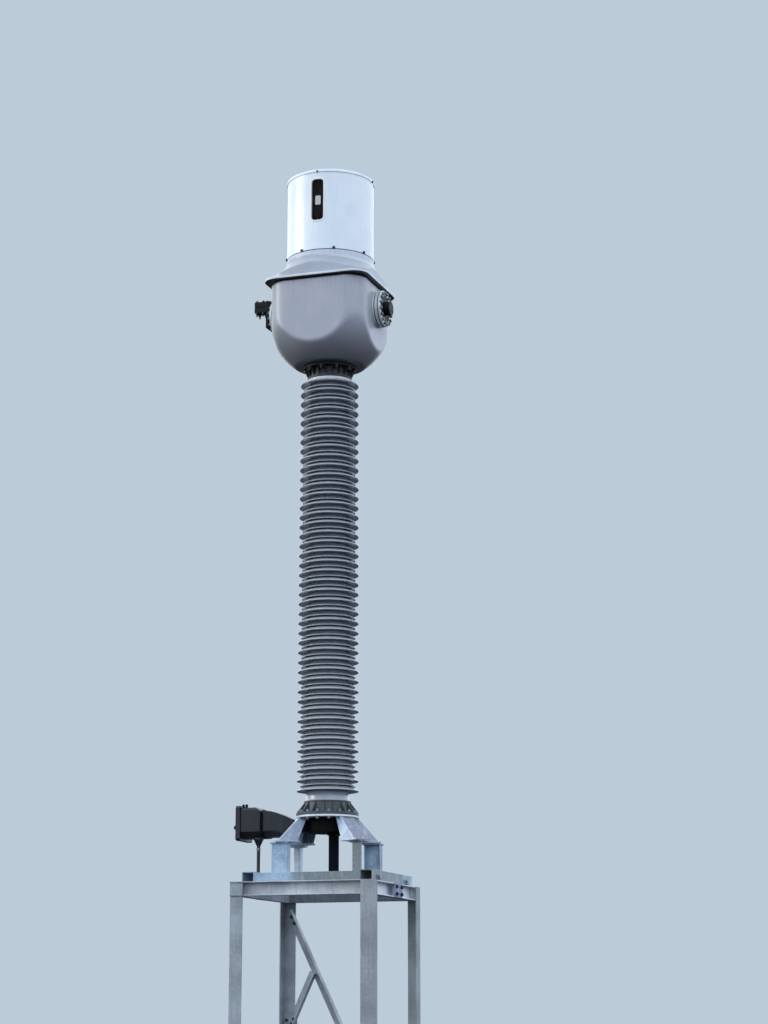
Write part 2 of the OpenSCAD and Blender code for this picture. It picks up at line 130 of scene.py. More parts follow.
camera = link(bpy.data.objects.new("camera", bpy.data.cameras.new("camera")))
camera.location = cameraLook["place"]
camera.rotation_euler = (math.radians(90 + cameraLook["tiltDegrees"]), 0.0,
                         math.radians(cameraLook["turnDegrees"]))
camera.data.sensor_fit = "VERTICAL"
camera.data.sensor_height = cameraLook["sensorMm"]
camera.data.lens = cameraLook["lensMm"]
camera.data.clip_end = cameraLook["farClip"]
bpy.context.scene.camera = camera
bpy.context.scene.view_settings.view_transform = "Standard"

for name, lamp in lamps.items():
    light = bpy.data.lights.new(name, "AREA")
    light.size = lamp["size"]
    light.energy = lamp["watts"]
    light.color = linear(lamp["colour"])[:3]
    lightObject = link(bpy.data.objects.new(name, light))
    lightObject.location = lamp["place"]
    aim = Vector(lamp["aim"]) - lightObject.location
    lightObject.rotation_euler = aim.to_track_quat("-Z", "Y").to_euler()

world = bpy.data.worlds.new("softSky")
bpy.context.scene.world = world
world.use_nodes = True
sky = world.node_tree
sky.nodes.clear()
skyWhere = addNode(sky, "ShaderNodeTexCoord")
skyHeight = addNode(sky, "ShaderNodeSeparateXYZ", {0: out(skyWhere, "Generated")})
ground, horizon = studioLook["groundStrength"], studioLook["horizonStrength"]
skyRise, skyFade = (addNode(sky, "ShaderNodeMapRange", {
    "interpolation_type": "SMOOTHSTEP", "Value": out(skyHeight, "Z"), "From Min": band[0],
    "From Max": band[1], "To Min": low, "To Max": high}) for band, low, high in (
        (studioLook["horizonBand"], ground, horizon),
        (studioLook["zenithBand"], 1.0, studioLook["zenithStrength"] / horizon)))
skyStrength = addNode(sky, "ShaderNodeMath", {"operation": "MULTIPLY", 0: skyRise, 1: skyFade})
skyLight, skyBackdrop = (addNode(sky, "ShaderNodeBackground", {
    "Color": linear(studioLook[tone]), "Strength": strength})
    for tone, strength in (("skyColour", skyStrength), ("backdrop", 1.0)))
seenApart(sky, skyLight, skyBackdrop, "ShaderNodeOutputWorld")

reach = studioLook["floorSize"] / 2
floorCorners = [(-reach, -reach, 0), (reach, -reach, 0), (reach, reach, 0), (-reach, reach, 0)]
floor = link(bpy.data.objects.new("floor", meshOf("floor", floorCorners, [(0, 1, 2, 3)])))
floorPaint = bpy.data.materials.new("paleFloor")
floorPaint.use_nodes = True
floorTree = floorPaint.node_tree
floorTree.nodes.clear()
floorGiven, floorSeen = (addNode(floorTree, "ShaderNodeBsdfDiffuse", {
    "Color": linear(studioLook[tone])}) for tone in ("floorBounce", "floorColour"))
seenApart(floorTree, floorGiven, floorSeen, "ShaderNodeOutputMaterial")
floor.data.materials.append(floorPaint)
print("camera, light and floor ready")


# Finishes. Every pattern's scale comes from a real size in millimetres.

def perMetre(sizeMm):
    return 1 / (sizeMm * mm)


def startFinish(name):
    # an empty material, and the place on the object that its patterns read
    finish = bpy.data.materials.new(name)
    finish.use_nodes = True
    tree = finish.node_tree
    tree.nodes.clear()
    return finish, tree, out(addNode(tree, "ShaderNodeTexCoord"), "Object")


def endFinish(finish, pattern, rough, values):
    # the shader and the output; the roughness follows a pattern between its two values
    tree = finish.node_tree
    roughness = addNode(tree, "ShaderNodeMapRange", {
        "Value": pattern, "To Min": rough[0], "To Max": rough[1]})
    shader = addNode(tree, "ShaderNodeBsdfPrincipled", {"Roughness": roughness, **values})
    addNode(tree, "ShaderNodeOutputMaterial", {"Surface": shader})
    return finish


def toned(tree, colour, tone, pattern, start, end, strength=1.0, shape="LINEAR"):
    # lays a tone over a colour, as far as a pattern has come from start to end
    share = addNode(tree, "ShaderNodeMapRange", {
        "interpolation_type": shape, "Value": pattern, "From Min": start, "From Max": end,
        "To Max": strength})
    mix = addNode(tree, "ShaderNodeMix", {
        "data_type": "RGBA", "Factor_Float": share, "A_Color": colour, "B_Color": linear(tone)})
    return out(mix, "Result_Color")


def tonedTowards(tree, colour, vector, placedTones, wobble=None):
    # lays tones over a colour, by the dot product of a vector with each one's side; a tone is
    # its colour, its side, where it starts, its strength and its width. Most of them are painted
    # light and painted shade on the side of a part
    for tone, towards, start, strength, width in placedTones:
        reached = out(addNode(tree, "ShaderNodeVectorMath", {
            "operation": "DOT_PRODUCT", 0: vector, 1: towards}), "Value")
        if wobble:
            reached = addNode(tree, "ShaderNodeMath", {
                "operation": "MULTIPLY_ADD", 0: wobble, 1: 0.5, 2: reached})
        colour = toned(tree, colour, tone, reached, start, start + width, strength, "SMOOTHSTEP")
    return colour


def dusted(tree, colour, tone, facing, grain, start, end, depth):
    # grainy dust on what faces up; start and end are the slopes where it begins and is full
    grainDepth = addNode(tree, "ShaderNodeMath", {"operation": "MULTIPLY", 0: grain, 1: depth})
    return toned(tree, colour, tone, facing, start, end, grainDepth)


def drawnOut(tree, where, sizeMm, stretch, roughness):
    # noise stretched upwards, for runs and streaks
    across = perMetre(sizeMm)
    place = addNode(tree, "ShaderNodeMapping", {
        "Scale": (across, across, perMetre(sizeMm * stretch)), "Vector": where})
    return addNode(tree, "ShaderNodeTexNoise", {
        "Scale": 1.0, "Detail": 4.0, "Roughness": roughness, "Vector": place})


def galvanisedSteel(name, tones, crystals, cloudMm, runs, metallic, rough, placedTones=(), sides=()):
    # hot-dip zinc: flat grey crystals, duller cloudy patches and pale runs down the faces, with
    # painted light and painted shade laid by place and by the way a face turns
    finish, tree, where = startFinish(name)
    bright, dull, stain = tones
    crystalMm, depth = crystals
    runMm, runDepth = runs
    crystal = addNode(tree, "ShaderNodeTexVoronoi", {"Scale": perMetre(crystalMm), "Vector": where})
    crystalTone = addNode(tree, "ShaderNodeSeparateColor", {0: out(crystal, "Color")})
    crystalGrey = addNode(tree, "ShaderNodeMapRange", {
        "Value": crystalTone, "To Min": 1 - depth, "To Max": 1 + depth})
    clouds = addNode(tree, "ShaderNodeTexNoise", {
        "Scale": perMetre(cloudMm), "Detail": 6.0, "Roughness": 0.6, "Vector": where})
    normal = out(addNode(tree, "ShaderNodeNewGeometry"), "Normal")
    colour = toned(tree, linear(bright), dull, clouds, 0.36, 0.64, shape="SMOOTHSTEP")
    # painted light and painted shade: by place with a cloudy edge, and by the way a face turns
    colour = tonedTowards(tree, colour, where, placedTones, clouds)
    colour = tonedTowards(tree, colour, normal, sides)
    colour = toned(tree, colour, stain, drawnOut(tree, where, runMm, 18, 0.5), 0.52, 0.74, runDepth)
    flecked = addNode(tree, "ShaderNodeMix", {
        "data_type": "RGBA", "blend_type": "MULTIPLY", "Factor_Float": 1.0, "A_Color": colour,
        "B_Color": crystalGrey})
    grit = addNode(tree, "ShaderNodeTexNoise", {
        "Scale": perMetre(3.0), "Detail": 3.0, "Vector": where})
    relief = addNode(tree, "ShaderNodeMix", {
        "data_type": "FLOAT", "Factor_Float": 0.35, "A_Float": crystalTone, "B_Float": grit})
    return endFinish(finish, clouds, rough, {
        "Metallic": metallic, "Base Color": out(flecked, "Result_Color"),
        "Normal": addNode(tree, "ShaderNodeBump", {
            "Strength": 0.25, "Distance": 0.4 * mm, "Height": relief})})


def paintedMetal(name, tones, toneMm, streaks, under, dusty, coat, rough, peel, gloss=0.5,
                 placedTones=(), sides=()):
    # sprayed enamel on metal: fine orange peel, slow changes of tone, rain streaks from the
    # edge above, dust on what faces up, grime with painted shade on what faces down, and tones
    # laid by place and by facing, most of them painted light and painted shade
    finish, tree, where = startFinish(name)
    paint, faded, grimeAndShade, dust = tones
    streakMm, top, length, depth = streaks
    peelMm, peelDepth = peel
    tone = addNode(tree, "ShaderNodeTexNoise", {
        "Scale": perMetre(toneMm), "Detail": 5.0, "Roughness": 0.55, "Vector": where})
    normal = out(addNode(tree, "ShaderNodeNewGeometry"), "Normal")
    facing = out(addNode(tree, "ShaderNodeSeparateXYZ", {0: normal}), "Z")
    height = out(addNode(tree, "ShaderNodeSeparateXYZ", {0: where}), "Z")
    streak = drawnOut(tree, where, streakMm, 14, 0.6)
    fall = addNode(tree, "ShaderNodeMapRange", {
        "Value": height, "From Min": top - length, "From Max": top, "To Min": 0.15 * depth,
        "To Max": depth})
    grain = addNode(tree, "ShaderNodeTexNoise", {
        "Scale": perMetre(12.0), "Detail": 6.0, "Vector": where})
    orangePeel = addNode(tree, "ShaderNodeTexNoise", {
        "Scale": perMetre(peelMm), "Detail": 2.0, "Vector": where})
    colour = toned(tree, linear(paint), faded, tone, 0.35, 0.65, shape="SMOOTHSTEP")
    # tones by place, most of them painted light and shade; painted light and shade by facing
    colour = tonedTowards(tree, colour, where, placedTones)
    colour = tonedTowards(tree, colour, normal, sides)
    colour = toned(tree, colour, grimeAndShade, streak, 0.48, 0.72, fall)
    # grime with painted shade on what faces down
    colour = toned(tree, colour, grimeAndShade, facing, -0.25, -0.95, under)
    return endFinish(finish, streak, rough, {
        "Coat Weight": coat, "Coat Roughness": 0.22, "IOR": 1.5, "Specular IOR Level": gloss,
        "Base Color": dusted(tree, colour, dust, facing, grain, 0.35, 0.95, dusty),
        "Normal": addNode(tree, "ShaderNodeBump", {
            "Strength": peelDepth, "Distance": 0.5 * mm, "Height": orangePeel})})


def glazedPorcelain(name, tones, cloudMm, speckMm, dusty, under, rough):
    # fired grey glaze: glassy, a little cloudy, with pin specks, pale dust on top of the sheds
    # and soot with painted shade below them
    finish, tree, where = startFinish(name)
    glaze, thinGlaze, speck, dust, sootAndShade = tones
    clouds = addNode(tree, "ShaderNodeTexNoise", {
        "Scale": perMetre(cloudMm), "Detail": 4.0, "Vector": where})
    specks = addNode(tree, "ShaderNodeTexVoronoi", {"Scale": perMetre(speckMm), "Vector": where})
    normal = out(addNode(tree, "ShaderNodeNewGeometry"), "Normal")
    facing = out(addNode(tree, "ShaderNodeSeparateXYZ", {0: normal}), "Z")
    dustPlace = addNode(tree, "ShaderNodeMapping", {"Scale": (1.0, 1.0, 0.25), "Vector": where})
    grain = addNode(tree, "ShaderNodeTexNoise", {
        "Scale": perMetre(35.0), "Detail": 5.0, "Vector": dustPlace})
    colour = toned(tree, linear(glaze), thinGlaze, clouds, 0.0, 1.0)
    colour = toned(tree, colour, speck, out(specks, "Distance"), 0.16, 0.06, 0.6)
    colour = dusted(tree, colour, dust, facing, grain, 0.25, 0.9, dusty)
    return endFinish(finish, grain, rough, {
        "IOR": 1.55, "Coat Weight": 0.5, "Coat Roughness": 0.06,
        "Base Color": toned(tree, colour, sootAndShade, facing, -0.2, -0.9, under)})


def plainFinish(name, tones, grainMm, metallic, rough, relief, gloss=0.5):
    # one material with a fine tone change and relief, for small pieces
    finish, tree, where = startFinish(name)
    main, other = tones
    grain = addNode(tree, "ShaderNodeTexNoise", {
        "Scale": perMetre(grainMm), "Detail": 5.0, "Roughness": 0.6, "Vector": where})
    return endFinish(finish, grain, rough, {
        "Metallic": metallic, "IOR": 1.5, "Specular IOR Level": gloss,
        "Base Color": toned(tree, linear(main), other, grain, 0.35, 0.65, shape="SMOOTHSTEP"),
        "Normal": addNode(tree, "ShaderNodeBump", {
            "Strength": relief, "Distance": 0.5 * mm, "Height": grain})})


# In the dictionaries: steel tones are bright, dull and stain; crystals and runs are a size in mm
# and a depth. Paint tones are paint, faded, grime and dust; the grime tone also paints shade on
# what faces down. Streaks are a size in mm, the height of the edge they start from, a length and
# a depth; peel is a size in mm and a depth. Placed and facing tones are mostly painted light and
# painted shade.
right = (1.0, 0.0, 0.0)
finishLooks = {
    # years in the rain: dull mid-grey zinc with faint crystals, darker towards the right and on
    # faces turned right as painted shade
    "stand_steel": (galvanisedSteel, "weatheredGalvanisedSteel", dict(
        tones=("#aab1b8", "#90979d", "#787772"), crystals=(14.0, 0.08), cloudMm=260.0,
        runs=(22.0, 0.35), metallic=0.35, rough=(0.48, 0.72),
        placedTones=[("#8f9291", right, 0.3, 0.3, 0.35)], sides=[("#8d9095", right, 0.2, 0.1, 0.5)])),
    # the same weathered zinc on the rolled top beams, painted paler as painted light in their
    # recessed channel webs; painted shade towards the right, painted light on faces turned right
    "beam_steel": (galvanisedSteel, "washedGalvanisedBeam", dict(
        tones=("#ccd1d5", "#b1b7bc", "#8f8e8a"), crystals=(14.0, 0.07), cloudMm=200.0,
        runs=(24.0, 0.4), metallic=0.25, rough=(0.5, 0.75),
        placedTones=[("#b4b6b4", right, 0.3, 0.3, 0.35)], sides=[("#eef4ff", right, 0.2, 0.85, 0.5)])),
    # blue-grey zinc on the joint plates of the side beams
    "joint_steel": (galvanisedSteel, "blueJointPlate", dict(
        tones=("#8a96b8", "#7b86a6", "#8c90a0"), crystals=(16.0, 0.1), cloudMm=90.0,
        runs=(20.0, 0.3), metallic=0.35, rough=(0.42, 0.65))),
    # newer zinc, paler and bluer, with clearer crystals; painted shade towards the front right and
    # on faces turned right, painted light towards the back left
    "adapter_steel": (galvanisedSteel, "newGalvanisedSteel", dict(
        tones=("#a9c0d3", "#8fa8bd", "#c7ced2"), crystals=(18.0, 0.10), cloudMm=180.0,
        runs=(26.0, 0.3), metallic=0.4, rough=(0.36, 0.6),
        placedTones=[("#797f7d", (1.0, -0.8, 0.0), 0.33, 0.9, 0.35),
                   ("#efedf0", (-1.0, 1.0, 0.0), 0.6, 0.7, 0.2)],
        sides=[("#8ea2b4", right, 0.2, 0.2, 0.5)])),
    # bright zinc on folded plate, with painted shade towards the right and on faces turned right
    "leg_steel": (galvanisedSteel, "brightGalvanisedPlate", dict(
        tones=("#d4e3f3", "#b9cadb", "#e2e6ea"), crystals=(20.0, 0.10), cloudMm=120.0,
        runs=(24.0, 0.25), metallic=0.45, rough=(0.32, 0.55),
        placedTones=[("#cdd0d8", right, 0.35, 0.8, 0.35)], sides=[("#77768a", right, 0.2, 0.85, 0.5)])),
    # bright zinc on the round base plate's turned edge, with painted shade towards the right and
    # on faces turned right
    "plate_steel": (galvanisedSteel, "brightGalvanisedDisc", dict(
        tones=("#e6ebee", "#ccd3d8", "#eceded"), crystals=(20.0, 0.08), cloudMm=120.0,
        runs=(24.0, 0.2), metallic=0.3, rough=(0.36, 0.55),
        placedTones=[("#c3c4cf", right, 0.45, 0.4, 0.35)], sides=[("#b9bcc6", right, 0.2, 0.2, 0.5)])),
    # dark grey enamel on rough iron: visible sand texture
    "dark_casting": (paintedMetal, "paintedIronCasting", dict(
        tones=("#3a4146", "#464d52", "#232220", "#7b7c7a"), toneMm=60.0,
        streaks=(14.0, 3.3, 0.3, 0.3), under=0.5, dusty=0.5, coat=0.1,
        rough=(0.45, 0.65), peel=(2.5, 0.5))),
    # the same casting paint on the neck beneath the head, glossier, and darker as painted shade from
    # the head, darkest at its top as painted shadow
    "neck_paint": (paintedMetal, "shelteredIronCasting", dict(
        tones=("#2a3034", "#33393d", "#191819", "#5b5c5b"), toneMm=60.0,
        streaks=(14.0, 6.75, 0.2, 0.3), under=0.5, dusty=0.5, coat=0.1, gloss=0.3,
        placedTones=[("#0c0c0c", (0.0, 0.0, 1.0), 6.64, 0.8, 0.05)],
        rough=(0.45, 0.65), peel=(2.5, 0.5))),
    # black tank paint beneath the base plate, darkened further as painted shade: matt, with a dark
    # blue tint towards the bottom
    "drum_paint": (paintedMetal, "shadedTankPaint", dict(
        tones=("#0e0e0f", "#141414", "#0b0a0a", "#2c2b2a"), toneMm=80.0,
        streaks=(16.0, 3.1, 0.4, 0.3), under=0.5, dusty=0.4, coat=0.0, gloss=0.05,
        placedTones=[("#06141f", (0.0, 0.0, -1.0), -3.0, 0.8, 0.08)],
        rough=(0.5, 0.7), peel=(3.0, 0.3))),
    # black-grey enamel on a cast box, slightly bleached on the faces, with grime and painted shade
    # on what faces down and painted shade at the neck's end beside the leg
    "box_paint": (paintedMetal, "paintedTerminalBox", dict(
        tones=("#10171b", "#171e23", "#211a1f", "#4c4f4e"), toneMm=90.0,
        streaks=(18.0, 3.24, 0.25, 0.35), under=0.85, dusty=0.5, coat=0.2, gloss=0.33,
        placedTones=[("#05070a", right, -0.35, 0.8, 0.02)],
        rough=(0.36, 0.55), peel=(2.5, 0.3))),
    # grey high-voltage glaze; tones are glaze, thin glaze, speck, dust, and soot with painted shade
    # below the sheds
    "porcelain_glaze": (glazedPorcelain, "greyPorcelainGlaze", dict(
        tones=("#a3a8b1", "#b0b4bd", "#565453", "#bcbdbc", "#5b5d62"), cloudMm=90.0,
        speckMm=9.0, dusty=0.55, under=0.05, rough=(0.14, 0.34))),
    # grey enamel on a smooth aluminium casting, with painted shade on faces turned left, and grime
    # with painted shade on what faces down
    "pot_paint": (paintedMetal, "paintedCastHead", dict(
        tones=("#a5a8b4", "#adafb9", "#383132", "#b9bab8"), toneMm=240.0,
        streaks=(20.0, 7.36, 0.30, 0.22), under=0.75, dusty=0.3, coat=0.25,
        sides=[("#888f90", (-1.0, -0.3, 0.0), 0.5, 0.75, 0.45)],
        rough=(0.32, 0.48), peel=(3.0, 0.12))),
    # lighter grey enamel on the pressed cover, painted paler on the collar as painted light
    "cover_paint": (paintedMetal, "paintedCover", dict(
        tones=("#a9aeb9", "#a2a7b1", "#6c6b6b", "#c9cac8"), toneMm=200.0,
        streaks=(18.0, 7.62, 0.22, 0.2), under=0.5, dusty=0.35, coat=0.3,
        placedTones=[("#cdd3df", (0.1, 0.0, 1.0), 7.57, 0.85, 0.02)],
        rough=(0.28, 0.44), peel=(3.0, 0.1))),
    # the same enamel on the cover's rim: its face painted pale as painted light, its underside
    # nearly black as painted shadow
    "rim_paint": (paintedMetal, "rubbedCoverRim", dict(
        tones=("#dfe3e6", "#cfd4d8", "#161719", "#c9cac8"), toneMm=120.0,
        streaks=(18.0, 7.41, 0.05, 0.1), under=0.97, dusty=0.3, coat=0.2,
        rough=(0.3, 0.5), peel=(3.0, 0.1))),
    # white gloss enamel on rolled sheet
    "housing_paint": (paintedMetal, "whiteEnamelHousing", dict(
        tones=("#eff5fb", "#e6eef6", "#a9a8a2", "#d5d5d0"), toneMm=300.0,
        streaks=(22.0, 8.28, 0.65, 0.10), under=0.4, dusty=0.3, coat=0.45,
        rough=(0.22, 0.36), peel=(4.0, 0.06))),
    # whiter enamel on the narrow border round the window
    "window_trim": (paintedMetal, "whiteWindowBorder", dict(
        tones=("#faf3f2", "#f3ecea", "#a9a29f", "#dedad7"), toneMm=40.0,
        streaks=(8.0, 8.24, 0.4, 0.2), under=0.4, dusty=0.3, coat=0.3,
        rough=(0.3, 0.45), peel=(2.0, 0.1))),
    # oil-stained matt black sheet behind the window
    "window_dark": (plainFinish, "blackGaugePlate", dict(
        tones=("#12070a", "#1b0d10"), grainMm=18.0, metallic=0.0, gloss=0.1,
        rough=(0.4, 0.6), relief=0.1)),
    # white gauge float with slight yellowing
    "pointer_white": (plainFinish, "whiteGaugePointer", dict(
        tones=("#f1efe9", "#e2ded4"), grainMm=9.0, metallic=0.0,
        rough=(0.35, 0.5), relief=0.1)),
    # weathered black rubber with a grey bloom
    "gasket_rubber": (plainFinish, "weatheredRubber", dict(
        tones=("#17181a", "#252627"), grainMm=6.0, metallic=0.0,
        rough=(0.7, 0.9), relief=0.3)),
    # cast aluminium with an oxidised skin
    "ring_metal": (plainFinish, "oxidisedCastAluminium", dict(
        tones=("#e2e9e8", "#cbd4d4"), grainMm=7.0, metallic=0.3,
        rough=(0.34, 0.55), relief=0.25)),
    # darkened contact metal, nearly black
    "terminal_dark": (plainFinish, "darkContactMetal", dict(
        tones=("#0f1112", "#1a1c1e"), grainMm=10.0, metallic=0.1, gloss=0.2,
        rough=(0.4, 0.65), relief=0.3)),
    # pale sealing cement between the porcelain and its metal neck
    "ring_cement": (plainFinish, "paleSealingCement", dict(
        tones=("#e0e2e5", "#c8ccd1"), grainMm=8.0, metallic=0.0,
        rough=(0.5, 0.7), relief=0.3)),
    # stainless or zinc-plated fasteners, slightly tarnished
    "fastener": (plainFinish, "tarnishedFastener", dict(
        tones=("#8d9296", "#6f7477"), grainMm=4.0, metallic=0.8,
        rough=(0.34, 0.55), relief=0.2)),
    # blackened fasteners on the dark castings
    "dark_fastener": (plainFinish, "blackenedFastener", dict(
        tones=("#2a2b2d", "#3f4041"), grainMm=4.0, metallic=0.6,
        rough=(0.4, 0.6), relief=0.2)),
}
finishes = {slotName: maker(name, **look) for slotName, (maker, name, look) in finishLooks.items()}

# flat window glass: a thin dark gloss over the gauge, clean enough to see through
glassLook = {"tone": "#0c0e12", "markMm": 30.0, "rough": (0.01, 0.09), "alpha": 0.08, "gloss": 0.2}
glass, tree, where = startFinish("clearWindowGlass")
wipeMarks = addNode(tree, "ShaderNodeTexNoise", {
    "Scale": perMetre(glassLook["markMm"]), "Detail": 5.0, "Vector": where})
finishes["clear_glass"] = endFinish(glass, wipeMarks, glassLook["rough"], {
    "Alpha": glassLook["alpha"], "IOR": 1.45, "Specular IOR Level": glassLook["gloss"],
    "Base Color": linear(glassLook["tone"])})
print("finishes ready")


# Mesh helpers

mergeGap = 0.02 * mm
flatDegrees = 0.5


def smoothFaces(mesh):
    for face in mesh.polygons:
        face.use_smooth = True


def markSharp(piece, degrees):
    piece.data.set_sharp_from_angle(angle=math.radians(degrees))


def newPiece(name, mesh, finishName):
    # a shaded piece at the origin, with one finish
    mesh.materials.clear()
    mesh.materials.append(finishes[finishName])
    smoothFaces(mesh)
    return link(bpy.data.objects.new(name, mesh))


def settle(obj):
    # the evaluated shape as a plain mesh, without modifiers
    graph = bpy.context.evaluated_depsgraph_get()
    mesh = bpy.data.meshes.new_from_object(obj.evaluated_get(graph), depsgraph=graph)
    obj.modifiers.clear()
    obj.data = mesh
    return obj


def hand(piece, slotName, *replaced):
    # the frame's calls for one finished piece
    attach(piece, "root")
    if replaced:
        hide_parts(*replaced)
    return piece


def reworked(mesh, change):
    # one change made to a mesh in its editable form
    work = bmesh.new()
    work.from_mesh(mesh)
    change(work)
    work.to_mesh(mesh)
    work.free()


def fillHoles(work):
    bmesh.ops.holes_fill(work, edges=[e for e in work.edges if e.is_boundary], sides=0)


def facedOut(work):
    bmesh.ops.recalc_face_normals(work, faces=work.faces)


def bevelled(piece, width, degrees):
    # rounds the edges where the surface turns by more than the angle
    bevel = piece.modifiers.new("roundedEdges", "BEVEL")
    bevel.width = width
    bevel.segments = 2
    bevel.limit_method = "ANGLE"
    bevel.angle_limit = math.radians(degrees)
    bevel.harden_normals = True
    return settle(piece)


def softened(nodeName, slotName, width, finishName, cuts=()):
    # a copy of a CAD node with its edges rounded, which then stands for the node; a cut takes
    # away what lies beyond a plane
    def simplify(work):
        bmesh.ops.remove_doubles(work, verts=work.verts, dist=mergeGap)
        bmesh.ops.dissolve_limit(work, angle_limit=math.radians(flatDegrees), verts=work.verts,
                                 edges=work.edges)
        for point, normal in cuts:
            bmesh.ops.bisect_plane(work, geom=work.verts[:] + work.edges[:] + work.faces[:],
                                   plane_co=point, plane_no=normal, clear_outer=True)
            fillHoles(work)

    mesh = cadNodes[nodeName].data.copy()
    if "custom_normal" in mesh.attributes:
        mesh.attributes.remove(mesh.attributes["custom_normal"])
    reworked(mesh, simplify)
    piece = newPiece(nodeName + "_finished", mesh, finishName)
    hand(bevelled(piece, width, 40), slotName, nodeName)


def angles(count, start=0.0):
    return [start + math.tau * i / count for i in range(count)]


def pairs(count):
    # each number with the next one, round a ring
    return [(i, (i + 1) % count) for i in range(count)]


def ringAt(z, radiusAt, count):
    # a ring of points, with a radius that may change with the angle
    radii = [(radiusAt(a), a) for a in angles(count)]
    return [(r * math.cos(a), r * math.sin(a), z) for r, a in radii]


def circleRing(radius, z, count):
    return ringAt(z, lambda angle: radius, count)


def skin(name, rings, finishName, degrees, slotName, *replaced):
    # a closed skin over stacked rings of points; the ends are closed with fans
    count = len(rings[0])
    points = [p for ring in rings for p in ring]
    foot, head, last = len(points), len(points) + 1, len(points) - count
    faces = [(a + i, a + j, a + count + j, a + count + i)
             for a in range(0, last, count) for i, j in pairs(count)]
    points += [(0.0, 0.0, ring[0][2]) for ring in (rings[0], rings[-1])]
    faces += [(foot, j, i) for i, j in pairs(count)]
    faces += [(head, last + i, last + j) for i, j in pairs(count)]
    piece = newPiece(name, meshOf(name, points, faces), finishName)
    markSharp(piece, degrees)
    return hand(piece, slotName, *replaced)


def squareRadius(angle, half, corner):
    # how far a rounded square reaches in one direction
    c, s = abs(math.cos(angle)), abs(math.sin(angle))
    if c < s:
        c, s = s, c
    if half * s / c <= half - corner:
        return half / c
    middle = half - corner
    along = middle * (c + s)
    return along + math.sqrt(max(0.0, along * along - 2 * middle * middle + corner * corner))


def smoothLower(a, b, blend):
    # the lower of two values, with a soft change between them
    near = max(blend - abs(a - b), 0.0) / blend
    return min(a, b) - near * near * blend / 4


# Head: pot, cover and their closed skins

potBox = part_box("head_pot")
neckTop, potTop = potBox[0].z, potBox[1].z
potLook = {
    "half": potBox[1].x,
    "corner": 165 * mm,
    "bowlRadius": 504 * mm,
    "bowlDepth": 507 * mm,
    "flatBottom": 275 * mm,
    "blend": 14 * mm,          # softness where the flats run into the bowl
    "edge": 5 * mm,
    "steps": 168,
    "levels": 60,
}


def bowlRadius(rise):
    start = math.sqrt(1 - (potLook["flatBottom"] / potLook["bowlRadius"]) ** 2)
    q = max(0.0, start - rise / potLook["bowlDepth"])
    return potLook["bowlRadius"] * math.sqrt(1 - q * q)


def potRing(rise, inset):
    return ringAt(neckTop + rise, lambda angle: smoothLower(
        squareRadius(angle, potLook["half"], potLook["corner"]), bowlRadius(rise),
        potLook["blend"]) - inset, potLook["steps"])


potHeight = potTop - neckTop
potEdge = potLook["edge"]
potLevels = [(0.0, potEdge * 1.6), (potEdge * 0.3, potEdge * 0.6), (potEdge, 0.0)]
potLevels += [(potEdge + (potHeight - 2 * potEdge) * k / potLook["levels"], 0.0)
              for k in range(1, potLook["levels"] + 1)]
potLevels += [(potHeight - potEdge * 0.3, potEdge * 0.3), (potHeight, potEdge)]
skin("head_pot_smooth", [potRing(rise, inset) for rise, inset in potLevels],
     "pot_paint", 50, "pot_paint", "head_pot")

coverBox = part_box("head_cover")
coverLook = {
    "half": coverBox[1].x,
    "corner": 130 * mm,
    "rimHeight": 20 * mm,
    "bellHalf": 403 * mm,      # the bell is cut flat on its four sides
    "bellCorner": 165 * mm,
    "bellFoot": 564 * mm,      # radius of the uncut bell at the rim
    "bellTop": 356 * mm,
    "bellCurve": 1.6,
    "bellHeight": 174 * mm,
    "collar": 353 * mm,
    "blend": 14 * mm,          # softness where the flats run into the bell
    "steps": 168,
    "levels": 40,
}
rimFoot, coverTop = coverBox[0].z, coverBox[1].z
rimTop = rimFoot + coverLook["rimHeight"]
bellEnd = rimTop + coverLook["bellHeight"]


def rimRing(z, insetMm):
    return ringAt(z, lambda angle: squareRadius(
        angle, coverLook["half"], coverLook["corner"]) - insetMm * mm, coverLook["steps"])


def bellRing(z, share, outsetMm=0.0):
    span = coverLook["bellFoot"] - coverLook["bellTop"]
    uncut = coverLook["bellTop"] + span * (1 - share) ** coverLook["bellCurve"]
    return ringAt(z, lambda angle: outsetMm * mm + smoothLower(
        squareRadius(angle, coverLook["bellHalf"], coverLook["bellCorner"]), uncut,
        coverLook["blend"]), coverLook["steps"])


skin("head_cover_rim", [rimRing(level + rise * mm, inset) for level, rise, inset in (
    (rimFoot, 0, 4), (rimFoot, 1, 1.2), (rimFoot, 3.5, 0),
    (rimTop, -4, 0), (rimTop, -1.2, 1.2), (rimTop, 0, 4))], "rim_paint", 35, "cover_paint")
coverRings = [bellRing(rimTop + rise * mm, share, outset) for rise, share, outset in (
    (-4, 0.0, 6), (0.3, 0.0, 7), (2, 0.01, 2), (6, 0.035, 0))]
coverRings += [bellRing(rimTop + coverLook["bellHeight"] * k / coverLook["levels"],
                        k / coverLook["levels"]) for k in range(3, coverLook["levels"] + 1)]
coverRings += [circleRing(coverLook["collar"] + outset * mm, level + rise * mm, coverLook["steps"])
               for level, rise, outset in ((bellEnd, 1, 2), (bellEnd, 1.6, 0), (coverTop, -4, 0),
                                           (coverTop, -1.2, -1.2), (coverTop, 0, -4))]
skin("head_cover_smooth", coverRings, "cover_paint", 35, "cover_paint", "head_cover")
print("head skins ready")

# Porcelain: one shed outline, repeated up the column and turned round the axis

